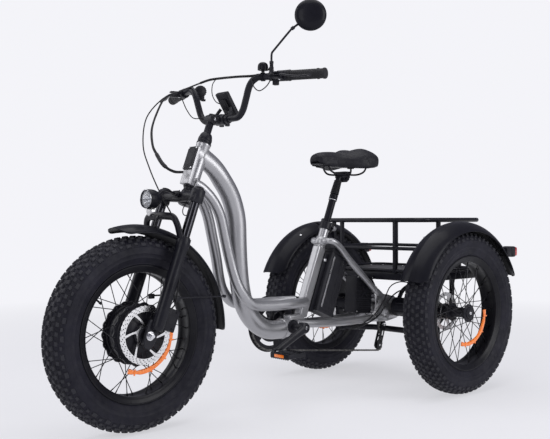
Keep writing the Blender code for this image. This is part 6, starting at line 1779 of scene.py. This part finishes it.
def stage():
    """A floor that fades into the backdrop."""
    floor_look = Shader("studio_floor")
    tree = floor_look.tree
    texture = floor_look.noise(3.0, 2.0)
    colour = floor_look.mix(texture, (0.7, 0.7, 0.735), (0.715, 0.715, 0.75))
    floor_look.link(colour, floor_look.bsdf.inputs["Base Color"])
    floor_look.set(Roughness=0.75, Specular_IOR_Level=0.2)
    length = tree.nodes.new("ShaderNodeVectorMath")
    length.operation = "LENGTH"
    floor_look.link(floor_look.coords, length.inputs[0])
    fade = floor_look.span(length.outputs["Value"], 0.6, 1.0, 1.4, 4.2)
    glow = tree.nodes.new("ShaderNodeEmission")
    glow.inputs["Color"].default_value = (*BACKDROP, 1.0)
    glow.inputs["Strength"].default_value = 1.0
    blend = tree.nodes.new("ShaderNodeMixShader")
    floor_look.link(fade, blend.inputs[0])
    floor_look.link(floor_look.bsdf.outputs[0], blend.inputs[1])
    floor_look.link(glow.outputs[0], blend.inputs[2])
    floor_look.link(blend.outputs[0], tree.nodes["Material Output"].inputs["Surface"])
    mesh = bpy.data.meshes.new("studio_floor")
    bm = bmesh.new()
    bmesh.ops.create_circle(bm, cap_ends=True, segments=96, radius=40.0)
    bm.to_mesh(mesh)
    bm.free()
    mesh.materials.append(floor_look.mat)
    floor = bpy.data.objects.new("studio_floor", mesh)
    bpy.context.scene.collection.objects.link(floor)
    floor.location.z = -0.0004


def lights():
    world = bpy.data.worlds.new("studio")
    bpy.context.scene.world = world
    world.use_nodes = True
    tree = world.node_tree
    ambient = tree.nodes["Background"]
    ambient.inputs["Color"].default_value = (*AMBIENT, 1.0)
    seen = tree.nodes.new("ShaderNodeBackground")
    seen.inputs["Color"].default_value = (*BACKDROP, 1.0)
    rays = tree.nodes.new("ShaderNodeLightPath")
    choose = tree.nodes.new("ShaderNodeMixShader")
    tree.links.new(rays.outputs["Is Camera Ray"], choose.inputs[0])
    tree.links.new(ambient.outputs[0], choose.inputs[1])
    tree.links.new(seen.outputs[0], choose.inputs[2])
    tree.links.new(choose.outputs[0], tree.nodes["World Output"].inputs["Surface"])

    def soft(name, place, target, size, power):
        data = bpy.data.lights.new(name, "AREA")
        data.shape = "RECTANGLE"
        data.size, data.size_y = size
        data.energy = power
        obj = bpy.data.objects.new(name, data)
        bpy.context.scene.collection.objects.link(obj)
        obj.location = place
        obj.rotation_euler = (Vector(target) - Vector(place)).to_track_quat("-Z", "Y").to_euler()

    soft("overhead", (0.0, 0.0, 3.6), (0, 0, 0.4), (3.4, 3.4), 78)
    soft("left", (-2.9, -2.3, 2.3), (0, -0.1, 0.5), (3.0, 3.2), 50)
    soft("front", (1.6, -4.2, 2.2), (0, -0.2, 0.5), (2.0, 2.4), 42)
    soft("side", (3.7, 1.3, 2.0), (0, 0.1, 0.5), (2.2, 2.8), 78)


def camera():
    data = bpy.data.cameras.new("camera")
    data.lens = 55.0
    data.sensor_width = 36.0
    obj = bpy.data.objects.new("camera", data)
    bpy.context.scene.collection.objects.link(obj)
    obj.location = (2.1855, -2.0707, 0.6496)
    obj.rotation_euler = (radians(90), radians(0.17), radians(47.06))
    data.clip_end = 200.0
    bpy.context.scene.camera = obj
    bpy.context.scene.view_settings.view_transform = "Standard"


front_wheel()
for each in (1, -1):
    rear_wheel(each)
fork()
mudguards()
main_frame()
rear_frame()
for part in (crank, pedal):
    for each in (1, -1):
        part(each)
chain_and_gears()
power()
seat_parts()
cockpit()
cables()
stage()
lights()
camera()
